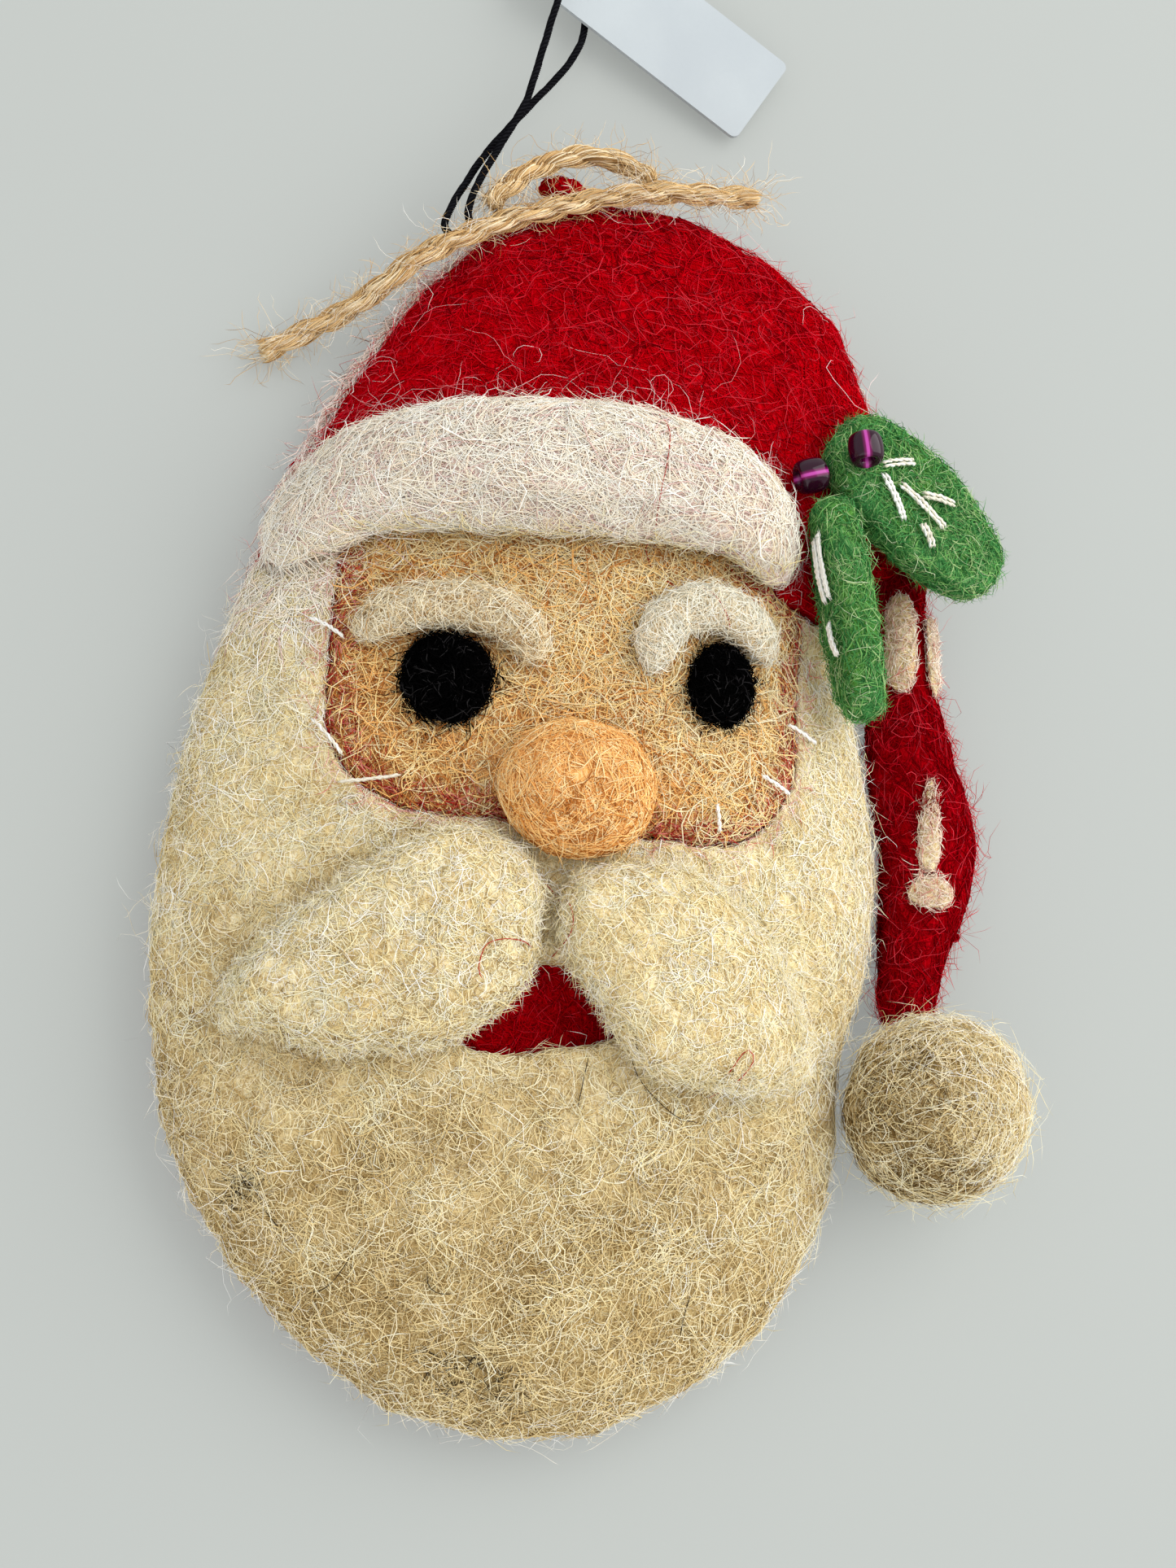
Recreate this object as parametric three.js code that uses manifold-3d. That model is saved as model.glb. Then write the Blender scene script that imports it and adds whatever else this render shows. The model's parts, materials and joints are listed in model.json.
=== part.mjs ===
// Felt holiday ornament: the stuffed head of a bearded figure in a red winter hat, with
// a hanging tail and pom-pom, a sprig of holly, a twine loop and a blank tag.
// It lies on its back. Millimetres, +Z out of the face, +Y to the hat's top, +X to the
// viewer's right. The origin is on the flat back of the back panel, under the nose.
import * as THREE from "three";
import { mergeVertices } from "three/addons/utils/BufferGeometryUtils.js";
import Module from "manifold-3d";

const wasm = await Module();
wasm.setup();

// Clearance between two pieces that touch
const GAP = 0.3;
// Extra lift of a wide soft piece draped over the curved head
const DRAPE = 0.15;

// Felt and wool thicknesses
const BACK_FELT = 2.5;
const BASE_FELT = 1.5;
const FRONT_FELT = 2.5;
const FACE_FELT = 2.2;
const EYE_FELT = 2;
const LEAF_FELT = 3.4;
const FILLING_EDGE = 0.9;
const LIP_COVER = 1.2;

// Head: outline from the hat's top clockwise, and the swell of its front
const HEAD_OUTLINE = [
  [-1.5, 64.2], [9, 64.2], [18.5, 60.6], [26, 54], [29.8, 45], [29.6, 32], [27.7, 18], [30, 8],
  [31.8, -4], [30.6, -14], [28.6, -23], [28.8, -32], [23, -45.5], [10, -55], [0, -57.3],
  [-10, -55.8], [-24, -46.3], [-33.3, -32.5], [-36.3, -14], [-34.2, 8], [-29.5, 24],
  [-22.5, 42], [-13.5, 56.5], [-7, 62],
];
const HEAD_CENTRE = [-1.5, 2];
const HEAD_RISE = 11.3;
const SWELL_POWER = 2.2;
const SHOULDER_POWER = 0.6;
const BACK_HEM = 1.3;
const BACK_TUCK = 0.9;
const FILLING_HEM = 0.5;
const FILLING_TUCK = 2.8;
const BASE_TUCK = 3.4;
const HAT_STARTS = 12;
const HAT_FULL = 28;
const BACK_ROUND = BACK_FELT / 3;

// Opening of the beard panel for the face, and the mouth
const WINDOW_LEFT = -23.3;
const WINDOW_RIGHT = 21.5;
const WINDOW_BOTTOM = -3.4;
const WINDOW_CORNER = 10;
const WINDOW_GAP = 0.4;
const MOUTH_CENTRE = [-2.2, -20];
const MOUTH_HALF_WIDTH = 10.5;
const MOUTH_HALF_HEIGHT = 4.1;
const MOUTH_TILT = 7;

// Brim roll along the line where hat and beard meet
const BRIM_SPINE = [
  [-28.7, 19.4], [-26.3, 23.8], [-21.5, 28], [-15, 29.6], [-7, 30.3], [1.5, 30.8],
  [9.5, 30.1], [14.5, 28.3], [17.3, 25], [18.6, 21.8],
];
const BRIM_HALF_WIDTH = 7.3;
const BRIM_THICK = 6.5;
const BRIM_BLUNT = 2.7;
const BELT_GAP = 0.6;
const BELT_LEFT = [-31, 23.5];
const BELT_RIGHT = [24, 21];

// Face pieces
const BROW_HALF_WIDTH = 2;
const BROW_THICK = 2.6;
const BROW_BLUNT = 6;
const LEFT_BROW = [[-21.3, 12.9], [-18.6, 14.8], [-14.8, 16.1], [-10.4, 16], [-6.5, 14.5], [-4.4, 11.6]];
const RIGHT_BROW = [[6.3, 12.2], [6.5, 15.6], [8.6, 18.2], [11.9, 19], [15.3, 17.9], [18.2, 15.3]];
const LEFT_EYE = [-12.7, 9.3];
const LEFT_EYE_RADIUS = [4, 4.1];
const RIGHT_EYE = [13, 11.9];
const RIGHT_EYE_RADIUS = [3, 3.7];
const NOSE_CENTRE = [-0.3, -0.3];
const NOSE_RADIUS = [7.3, 6.4];
const NOSE_THICK = 6;
const EYE_DROP = 0.6;
const MOUSTACHE_THICK = 4.7;
const LEFT_MOUSTACHE = [
  [-3.1, -7.7], [-6.9, -5.1], [-10.2, -4.8], [-13.4, -5.4], [-18, -8.8], [-22.2, -11.7],
  [-26.7, -15.8], [-29.1, -19.3], [-30.9, -22.9], [-29.9, -24], [-26.4, -24.5], [-24, -24.7],
  [-21.3, -26], [-16.5, -25.4], [-9.8, -24.5], [-7.3, -22.2], [-3.9, -19.1], [-2.8, -15.7],
];
const RIGHT_MOUSTACHE = [
  [1.4, -7], [5.2, -6.7], [10.1, -6.1], [15.1, -9.4], [19.6, -12.9], [22.5, -17.2],
  [24.1, -21.7], [23.7, -23.9], [20.5, -25.4], [16.2, -26], [11.7, -25.8], [7.4, -24.8],
  [5.8, -23.3], [3.7, -20.5], [0.7, -17.1], [-0.9, -14.4], [-1.2, -12.2], [-1.3, -8.9],
];

// Hat tail on the table beside the head, with its felted marks, and the pom-pom.
// Each station is a height up the head and the tail's distance from the head's edge.
const TAIL_STATIONS = [[31, 0.9], [24, 1.9], [15, 2.6], [8, 1.1], [1, 1], [-7, 0.9], [-14, 2.3]];
const TAIL_ROOT_RADIUS = 3;
const TAIL_BELLY = 5.2;
const TAIL_TIP_RADIUS = 3;
const TAIL_HALF_HEIGHT = 3.8;
const TABLE_GAP = 0.3;
const TAIL_BELLY_SHIFT = 1.5;
const TAIL_END_SHARE = 0.25;
const MARK_THICK = 0.9;
const MARK_BLUNT = 5;
const MARK_DROP = 0.5;
const MARK_LIMIT = 0.97;
const TAIL_BAR = [[36.2, 7.6], [36.2, 2.5], [36.4, -2]];
const TAIL_BAR_HALF = 1.1;
const TAIL_KNOB = [36.7, -3.9];
const TAIL_KNOB_RADIUS = [2.2, 1.5];
const TAIL_OVAL = [[32.6, 26.4], [32.7, 21], [33, 15.8]];
const TAIL_OVAL_HALF = 1.5;
const TAIL_STRIPE = [[36.4, 25], [36.5, 20.5], [36.7, 16]];
const TAIL_STRIPE_HALF = 0.9;
const POM_RADIUS = 8.6;
const POM_HEADING = -81;

// Holly: leaves from their sewn base, with heading, droop and roll in degrees
const RIGHT_LEAF = {
  base: [23.6, 39.5], length: 21, width: 12, heading: -39, droop: 4, roll: -18,
};
const LEFT_LEAF = {
  base: [23.9, 31.5], length: 21.2, width: 7, heading: -75.7, droop: 7, roll: 86,
};
const LEAF_BEVEL = 0.7;
// Leaf outline by shares of its length and half width: neck, rise, belly, shoulder, tip
const LEAF_NECK = 0.42;
const LEAF_RISE = [0.1, 1.08];
const LEAF_BULGE = [0.54, 1.28];
const LEAF_SHOULDER = [0.88, 0.7];
const LEAF_TIP = [1.04, 0.42];
const THREAD_RADIUS = 0.35;
const RIGHT_VEINS = [
  [[5.1, -1], [7.2, 2.4]], [[5.7, -1.75], [10.3, -4.2]], [[7.6, -1.05], [13.8, -1]],
  [[9.9, 0], [12.9, 2.3]], [[11.8, -2.8], [14.1, -4]],
];
const LEFT_VEINS = [[[3, 1.3], [9.6, 1.5]], [[3.4, 0.1], [9.8, 0.3]], [[11.6, 0.4], [15, 1.2]]];
const BEAD_RADIUS = 1.85;
const BEAD_LENGTH = 3;
const BEAD_BORE = 0.45;
const BEAD_SQUARENESS = 0.75;
const BEAD_FOOT = 0.45;
const UPPER_BEAD_AT = [2.8, -2.9];
const UPPER_BEAD_TURN = 45;
const LOWER_BEAD_AT = [20.8, 34.1];
const LOWER_BEAD_TURN = 20;

// Thread stitches round the face opening: their ends
const FACE_STITCHES = [
  [[-25.4, 14.6], [-22.2, 12.6]], [[-24.4, 4.6], [-21.4, 1.2]], [[-21.6, -1.4], [-16.2, -0.4]],
  [[20.2, 9.6], [23.4, 8.4]], [[17.6, 4], [20.6, 2.6]], [[13.2, 0.4], [13.6, -2.2]],
];

// Twine, tag elastic and tag: routes chosen by hand, from the left end
const TWINE_RADIUS = 1.25;
const TIE_STRAND = [
  [-32.2, 44.4, 1.9], [-30.6, 45.3, 2], [-29, 46.3, 2.4], [-27.2, 47.4, 3], [-25.3, 48.4, 3.9],
  [-23.3, 49.7, 5.1], [-21.4, 51.1, 6.5], [-19.4, 52.8, 7.8], [-17.6, 54.2, 8.6], [-14.6, 56.2, 9],
  [-11.6, 58, 9], [-8.1, 59.8, 9.1], [-4.4, 61.4, 9.1], [-0.8, 62.9, 9], [2.9, 64.1, 8.9],
  [6.3, 64.9, 8.9], [9.4, 65.3, 8.7], [12.6, 65.8, 8.3], [15.9, 66.3, 8],
];
const HANGING_LOOP = [
  [-11.4, 60.6, 8.4], [-11, 61.7, 8.1], [-10.1, 63, 7.7], [-8.9, 64.5, 7.3], [-7.4, 66, 6.8],
  [-5.6, 67.4, 6.4], [-3.6, 68.5, 6.1], [-1.5, 69.1, 6], [0.4, 69.2, 6], [2.2, 68.7, 6.2],
  [3.4, 68, 6.6], [4, 67.2, 7.2],
];
const TAB_CENTRE = [-3.7, 66];
const TAB_RADIUS = [2.5, 1.1];
const TAB_THICK = 2.4;
const TAB_DROP = 0.3;
const ELASTIC_RADIUS = 0.4;
const TAG_ELASTIC = [
  [-15.9, 57.5, 9.2], [-15.2, 60.2, 8.3], [-13.9, 63.4, 7.3], [-12.4, 66.8, 6.3], [-10.5, 70.2, 5.4],
  [-8.5, 73.4, 4.6], [-6.6, 76.4, 3.9], [-4.7, 79.4, 3.2], [-3.2, 82.4, 2.6], [-2.4, 85.4, 2.2],
  [-2.6, 88.4, 2], [-3.3, 91, 2.3], [-4, 92.5, 3.6], [-4.6, 92.3, 5.2], [-5, 90.6, 5.9],
  [-5.6, 88, 6], [-6.3, 84.6, 6], [-7, 81, 6.1], [-7.7, 77.4, 6.3], [-8.6, 73.4, 6.9],
  [-10.3, 69.2, 7.4], [-11.9, 65.4, 7.9], [-13.1, 62.2, 8.5], [-13.7, 59.2, 9.2],
];
const TAG_WIDTH = 10.6;
const TAG_LENGTH = 28;
const TAG_CARD = 0.5;
const TAG_CORNER = 0.8;
const TAG_HOLE_RADIUS = 1.6;
const TAG_HOLE_INSET = 3.6;
const TAG_HOLE_AT = [-4.1, 92.6, 3.6];
const TAG_HEADING = -29;
const TAG_DROOP = 5;
const TAG_ROLL = 3;

// Soft rolls and pads: height of a roll's widest line, taper and height of its ends,
// and how a pad's thickness falls to its edge, for a ball and for a flatter pad
const ROLL_LIFT = 0.35;
const ROLL_TAPER = 0.6;
const ROLL_TIP = 0.3;
const ROLL_END = 0.35;
const PUFF_EDGE = 0.2;
const BALL_POWER = 2.4;
const FLAT_POWER = 4;
const DOME_POWER = 4;

// Fineness of the facets
const OUTLINE_SAMPLES = 480;
const HEAD_SEGMENTS = 40;
const HEAD_SHARES = [0.34, 0.58, 0.76, 0.87, 0.94, 0.98, 1];
const FILLING_SHARES = [0.45, 0.72, 0.86, 0.94, 1];
const FLAT_SHARES = [0.5, 0.97, 1];
const PAD_SEGMENTS = 26;
const PAD_SHARES = [0.5, 0.8, 0.94, 1];
const EYE_SHARES = [0.6, 0.92, 1];
const EYE_SEGMENTS = 20;
const ROLL_SIDES = 12;
const BRIM_STATIONS = 22;
const BROW_STATIONS = 10;
const MARK_STATIONS = 8;
const TAIL_SIDES = 16;
const TAIL_STEPS = 16;
const TAIL_PROBES = 80;
const END_TURNS = [75, 50, 25];
const POM_FACETS = [20, 14];
const LEAF_CURVE_STEPS = 7;
const LEAF_BEVEL_STEPS = 2;
const LEAF_PROBES = 12;
const LEAF_PROBE_SHARES = [1, 0.8, 0.6, 0.4, 0.2];
const BEAD_PROFILE = 10;
const BEAD_SIDES = 12;
const TAG_CURVE_STEPS = 4;
const CORD_SIDES = 8;
const TIE_STEPS = 20;
const LOOP_STEPS = 14;
const ELASTIC_STEPS = 32;
const THREAD_SIDES = 6;
const VEIN_STEPS = 2;
const STITCH_STEPS = 4;
const REACH = 100;

// Finishes
const RED_FELT = { color: 0xa90f1c, roughness: 0.95 };
const CREAM_FELT = { color: 0xe2d5b4, roughness: 0.95 };
const WHITE_FELT = { color: 0xe6ded2, roughness: 0.95 };
const PEACH_FELT = { color: 0xdfa468, roughness: 0.95 };
const NOSE_WOOL = { color: 0xeab273, roughness: 0.9 };
const BLACK_FELT = { color: 0x161414, roughness: 0.95 };
const GREEN_FELT = { color: 0x336b3c, roughness: 0.95 };
const WOOL_FILLING = { color: 0xe9dfc4, roughness: 1 };
const PLUM_GLASS = { color: 0x5c0f3e, roughness: 0.15 };
const WHITE_THREAD = { color: 0xebe7da, roughness: 0.8 };
const JUTE = { color: 0xc49a63, roughness: 0.95 };
const BLACK_ELASTIC = { color: 0x17171a, roughness: 0.6 };
const WHITE_CARD = { color: 0xf1f1ee, roughness: 0.7 };

// A closed mesh with its faces turned outwards
function facingOut(geometry) {
  const bare = geometry.clone();
  bare.deleteAttribute("normal");
  bare.deleteAttribute("uv");
  const merged = mergeVertices(bare);
  const corners = merged.attributes.position;
  const index = merged.index.array;
  const [a, b, c] = [new THREE.Vector3(), new THREE.Vector3(), new THREE.Vector3()];
  let volume = 0;
  for (let i = 0; i < index.length; i += 3) {
    a.fromBufferAttribute(corners, index[i]);
    b.fromBufferAttribute(corners, index[i + 1]);
    c.fromBufferAttribute(corners, index[i + 2]);
    volume += a.dot(b.cross(c));
  }
  if (volume < 0) {
    for (let i = 0; i < index.length; i += 3) {
      [index[i], index[i + 1]] = [index[i + 1], index[i]];
    }
  }
  return merged;
}

// Rings of equally many points, closed by a tip at each end
function ringSolid(rings, firstTip, lastTip) {
  const count = rings[0].length;
  const points = [firstTip, ...rings.flat(), lastTip];
  const end = points.length - 1;
  const faces = [];
  for (let k = 0; k < count; k += 1) {
    const next = (k + 1) % count;
    faces.push(0, 1 + next, 1 + k);
    for (let r = 0; r < rings.length - 1; r += 1) {
      const here = 1 + r * count;
      const there = here + count;
      faces.push(here + k, here + next, there + next);
      faces.push(here + k, there + next, there + k);
    }
    faces.push(end, end - count + k, end - count + next);
  }
  const geometry = new THREE.BufferGeometry().setFromPoints(points);
  geometry.setIndex(faces);
  return facingOut(geometry);
}

function toSolid(geometry) {
  const merged = facingOut(geometry);
  const vertProperties = merged.attributes.position.array;
  const triVerts = new Uint32Array(merged.index.array);
  return new wasm.Manifold(new wasm.Mesh({ numProp: 3, vertProperties, triVerts }));
}

function fromSolid(solid) {
  const { vertProperties, triVerts } = solid.getMesh();
  const geometry = new THREE.BufferGeometry();
  geometry.setAttribute("position", new THREE.BufferAttribute(vertProperties, 3));
  geometry.setIndex(new THREE.BufferAttribute(triVerts, 1));
  return geometry;
}

function prism(shape, low = -REACH, high = REACH) {
  const geometry = new THREE.ExtrudeGeometry(shape, { depth: high - low, bevelEnabled: false });
  return geometry.translate(0, 0, low);
}

function piece(name, geometry, finish) {
  const mesh = new THREE.Mesh(geometry, new THREE.MeshStandardMaterial({ ...finish, metalness: 0 }));
  mesh.name = name;
  return mesh;
}

// How far a closed outline reaches from its centre, by angle
function polarReach(outline, [cx, cy]) {
  const curve = new THREE.CatmullRomCurve3(outline.map(([x, y]) => new THREE.Vector3(x, y, 0)), true);
  const samples = curve.getPoints(OUTLINE_SAMPLES).slice(1).map(({ x, y }) => ({
    angle: Math.atan2(y - cy, x - cx),
    reach: Math.hypot(x - cx, y - cy),
  }));
  samples.sort((p, q) => p.angle - q.angle);
  const first = { angle: samples[0].angle + 2 * Math.PI, reach: samples[0].reach };
  const last = samples[samples.length - 1];
  const ring = [{ angle: last.angle - 2 * Math.PI, reach: last.reach }, ...samples, first];
  return (angle) => {
    const wrapped = Math.atan2(Math.sin(angle), Math.cos(angle));
    const after = ring.findIndex((sample) => sample.angle > wrapped);
    const [p, q] = [ring[after - 1], ring[after]];
    const share = (wrapped - p.angle) / (q.angle - p.angle);
    return p.reach + share * (q.reach - p.reach);
  };
}

const ellipseReach = ([rx, ry]) => (angle) => {
  return 1 / Math.hypot(Math.cos(angle) / rx, Math.sin(angle) / ry);
};

// A closed body between two height fields, over an outline given by its reach.
// The heights take x, y and the share of the way from the centre to the edge.
function padSolid({ centre, reach, low, high, shares, segments }) {
  const [cx, cy] = centre;
  const ring = (share, height) => Array.from({ length: segments }, (_, k) => {
    const angle = (2 * Math.PI * k) / segments;
    const x = cx + share * reach(angle) * Math.cos(angle);
    const y = cy + share * reach(angle) * Math.sin(angle);
    return new THREE.Vector3(x, y, height(x, y, share));
  });
  const under = shares.map((share) => ring(share, low));
  const over = shares.map((share) => ring(share, high)).reverse();
  const tip = (height) => new THREE.Vector3(cx, cy, height(cx, cy, 0));
  return ringSolid([...under, ...over], tip(low), tip(high));
}

// The front of the head swells from its rim to its middle
const RIM_HEIGHT = BACK_FELT + 2 * GAP + FILLING_EDGE + LIP_COVER;
const headReach = polarReach(HEAD_OUTLINE, HEAD_CENTRE);

function frontHeight(x, y) {
  const [dx, dy] = [x - HEAD_CENTRE[0], y - HEAD_CENTRE[1]];
  const share = Math.min(1, Math.hypot(dx, dy) / headReach(Math.atan2(dy, dx)));
  return RIM_HEIGHT + HEAD_RISE * Math.max(0, 1 - share ** SWELL_POWER) ** SHOULDER_POWER;
}

// Edge of an inner layer: it shows under the hat and is tucked in behind the beard
const layerReach = (hem, tuck) => (angle) => {
  const reach = headReach(angle);
  const y = HEAD_CENTRE[1] + reach * Math.sin(angle);
  const hat = THREE.MathUtils.smoothstep(y, HAT_STARTS, HAT_FULL);
  return reach + THREE.MathUtils.lerp(-tuck, hem, hat);
};

function headLayer(reach, low, high, shares = HEAD_SHARES) {
  return padSolid({ centre: HEAD_CENTRE, reach, low, high, shares, segments: HEAD_SEGMENTS });
}

function backPanel() {
  const low = (x, y, share) => (share < 1 ? 0 : BACK_ROUND);
  const high = (x, y, share) => (share < 1 ? BACK_FELT : BACK_FELT - BACK_ROUND);
  return headLayer(layerReach(BACK_HEM, BACK_TUCK), low, high, FLAT_SHARES);
}

const baseTop = (x, y) => frontHeight(x, y) - FRONT_FELT - GAP;
const fillingLow = BACK_FELT + GAP;

function filling() {
  const edge = fillingLow + FILLING_EDGE;
  const high = (x, y) => Math.max(edge, baseTop(x, y) - BASE_FELT - GAP);
  return headLayer(layerReach(FILLING_HEM, FILLING_TUCK), () => fillingLow, high, FILLING_SHARES);
}

function basePanel() {
  const reach = layerReach(-BASE_TUCK, BASE_TUCK);
  return headLayer(reach, (x, y) => baseTop(x, y) - BASE_FELT, baseTop);
}

// Line where hat and beard meet under the brim, as a shape of all that lies on one side
function beltShape(side) {
  const shift = (side * BELT_GAP) / 2;
  const inside = [BELT_LEFT, ...BRIM_SPINE, BELT_RIGHT];
  const line = [[-REACH, BELT_LEFT[1]], ...inside, [REACH, BELT_RIGHT[1]]];
  const edge = line.map(([x, y]) => new THREE.Vector2(x, y + shift));
  const corners = [new THREE.Vector2(REACH, side * REACH), new THREE.Vector2(-REACH, side * REACH)];
  return new THREE.Shape([...edge, ...corners]);
}

function windowShape(inset) {
  const [left, right] = [WINDOW_LEFT + inset, WINDOW_RIGHT - inset];
  const bottom = WINDOW_BOTTOM + inset;
  const corner = WINDOW_CORNER - inset;
  const shape = new THREE.Shape();
  shape.moveTo(left, REACH);
  shape.lineTo(left, bottom + corner);
  shape.absarc(left + corner, bottom + corner, corner, Math.PI, 1.5 * Math.PI);
  shape.absarc(right - corner, bottom + corner, corner, 1.5 * Math.PI, 2 * Math.PI);
  shape.lineTo(right, REACH);
  return shape;
}

// The front felt, whose rim turns down as far as the lip height
function frontShell(lip) {
  const low = (x, y) => Math.max(frontHeight(x, y) - FRONT_FELT, lip);
  return toSolid(headLayer(headReach, low, frontHeight));
}

function hatCrown() {
  const shell = frontShell(fillingLow + FILLING_EDGE + GAP);
  return fromSolid(shell.intersect(toSolid(prism(beltShape(1)))));
}

function beardPanel() {
  const mouth = new THREE.Shape();
  const tilt = THREE.MathUtils.degToRad(MOUTH_TILT);
  mouth.absellipse(...MOUTH_CENTRE, MOUTH_HALF_WIDTH, MOUTH_HALF_HEIGHT, 0, 2 * Math.PI, false, tilt);
  const shell = frontShell(fillingLow + DRAPE)
    .intersect(toSolid(prism(beltShape(-1))))
    .subtract(toSolid(prism(windowShape(0))))
    .subtract(toSolid(prism(mouth)));
  return fromSolid(shell);
}

const faceHeight = (x, y) => frontHeight(x, y) - FRONT_FELT + FACE_FELT;

function facePanel() {
  const low = (x, y) => frontHeight(x, y) - FRONT_FELT;
  const shell = toSolid(headLayer(layerReach(-BASE_TUCK, BASE_TUCK), low, faceHeight));
  const window = toSolid(prism(windowShape(WINDOW_GAP)));
  return fromSolid(shell.intersect(window).intersect(toSolid(prism(beltShape(-1)))));
}

// A soft roll along a spine, draped on a floor. Its width and height swell from ends
// that taper more or less bluntly.
function drapedRoll({ spine, halfWidth, thick, floor, stations, blunt }) {
  const curve = new THREE.CatmullRomCurve3(spine.map(([x, y]) => new THREE.Vector3(x, y, 0)));
  const onFloor = (x, y, up) => new THREE.Vector3(x, y, floor(x, y) + up);
  const section = (along) => {
    const at = curve.getPointAt(along);
    const way = curve.getTangentAt(along);
    const fullness = (1 - Math.abs(2 * along - 1) ** blunt) ** ROLL_TAPER;
    return Array.from({ length: ROLL_SIDES }, (_, k) => {
      const angle = (2 * Math.PI * k) / ROLL_SIDES;
      const across = halfWidth * fullness * Math.cos(angle);
      const rise = Math.sin(angle);
      const share = rise > 0 ? ROLL_LIFT + (1 - ROLL_LIFT) * rise : ROLL_LIFT * (1 - Math.sqrt(-rise));
      return onFloor(at.x - across * way.y, at.y + across * way.x, thick * fullness * share);
    });
  };
  const span = stations - 1 + 2 * ROLL_END;
  const inner = Array.from({ length: stations }, (_, k) => (k + ROLL_END) / span);
  const [first, last] = [curve.getPointAt(0), curve.getPointAt(1)];
  const tip = ({ x, y }) => onFloor(x, y, thick * ROLL_LIFT * ROLL_TIP);
  return ringSolid(inner.map(section), tip(first), tip(last));
}

const onFront = (x, y) => frontHeight(x, y) + GAP + DRAPE;
const onFace = (x, y) => faceHeight(x, y) + GAP + DRAPE;

function brim() {
  const size = { halfWidth: BRIM_HALF_WIDTH, thick: BRIM_THICK, stations: BRIM_STATIONS };
  return drapedRoll({ ...size, blunt: BRIM_BLUNT, spine: BRIM_SPINE, floor: onFront });
}

function brow(spine) {
  const size = { halfWidth: BROW_HALF_WIDTH, thick: BROW_THICK, stations: BROW_STATIONS };
  return drapedRoll({ ...size, blunt: BROW_BLUNT, spine, floor: onFace });
}

// An oval patch on a floor, whose thickness drops towards its edge
function patch({ centre, radius, thick, drop, floor }) {
  const high = (x, y, share) => floor(x, y) + thick * (1 - drop * share ** DOME_POWER);
  const size = { shares: EYE_SHARES, segments: EYE_SEGMENTS };
  return padSolid({ ...size, centre, reach: ellipseReach(radius), low: floor, high });
}

function eye(centre, radius) {
  return patch({ centre, radius, thick: EYE_FELT, drop: EYE_DROP, floor: onFace });
}

// A puffed pad on the front of the head
function puff({ centre, reach, thick, power = BALL_POWER, low = onFront }) {
  const swell = (share) => PUFF_EDGE + (1 - PUFF_EDGE) * Math.sqrt(1 - share ** power);
  const high = (x, y, share) => onFront(x, y) + thick * swell(share);
  return padSolid({ centre, reach, low, high, shares: PAD_SHARES, segments: PAD_SEGMENTS });
}

function noseBall() {
  return puff({ centre: NOSE_CENTRE, reach: ellipseReach(NOSE_RADIUS), thick: NOSE_THICK });
}

// Room that the nose takes up in the moustaches
function noseRoom() {
  const wider = NOSE_RADIUS.map((radius) => radius + GAP + DRAPE);
  const size = { reach: ellipseReach(wider), thick: NOSE_THICK + REACH };
  return puff({ ...size, centre: NOSE_CENTRE, low: () => 0 });
}

function moustache(outline) {
  const shape = new THREE.Shape(outline.map(([x, y]) => new THREE.Vector2(x, y)));
  const points = shape.getPoints();
  const mean = (key) => points.reduce((sum, point) => sum + point[key], 0) / points.length;
  const centre = [mean("x"), mean("y")];
  const size = { reach: polarReach(outline, centre), thick: MOUSTACHE_THICK, power: FLAT_POWER };
  const pad = puff({ ...size, centre });
  return fromSolid(toSolid(pad).subtract(toSolid(noseRoom())));
}

// Hat tail: a stuffed tube from a round root to a round tip
const TAIL_HEIGHT = TABLE_GAP + TAIL_HALF_HEIGHT;

function tailHalf(along) {
  const ends = THREE.MathUtils.lerp(TAIL_ROOT_RADIUS, TAIL_TIP_RADIUS, along);
  const belly = Math.sin(Math.PI * along ** TAIL_BELLY_SHIFT) ** 2;
  const fat = THREE.MathUtils.smoothstep(Math.min(along, 1 - along), 0, TAIL_END_SHARE);
  return {
    width: THREE.MathUtils.lerp(ends, TAIL_BELLY, belly),
    height: THREE.MathUtils.lerp(ends, TAIL_HALF_HEIGHT, fat),
  };
}

// Right edge of the head at a height
function headEdge(y) {
  const turn = Math.PI / OUTLINE_SAMPLES;
  const angles = Array.from({ length: OUTLINE_SAMPLES }, (_, k) => k * turn - Math.PI / 2);
  const missed = (angle) => Math.abs(HEAD_CENTRE[1] + headReach(angle) * Math.sin(angle) - y);
  const best = angles.reduce((a, b) => (missed(b) < missed(a) ? b : a));
  return HEAD_CENTRE[0] + headReach(best) * Math.cos(best);
}

const tailPoints = TAIL_STATIONS.map(([y, clear], k) => {
  const { width } = tailHalf(k / (TAIL_STATIONS.length - 1));
  return new THREE.Vector3(headEdge(y) + clear + width, y, 0);
});
const tailCurve = new THREE.CatmullRomCurve3(tailPoints);

function tailSection(along, beyond, share) {
  const at = tailCurve.getPointAt(along);
  const way = tailCurve.getTangentAt(along);
  const { width, height } = tailHalf(along);
  return Array.from({ length: TAIL_SIDES }, (_, k) => {
    const angle = (2 * Math.PI * k) / TAIL_SIDES;
    const across = width * share * Math.cos(angle);
    const up = height * share * Math.sin(angle);
    const x = at.x + beyond * way.x - across * way.y;
    const y = at.y + beyond * way.y + across * way.x;
    return new THREE.Vector3(x, y, TAIL_HEIGHT + up);
  });
}

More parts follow.
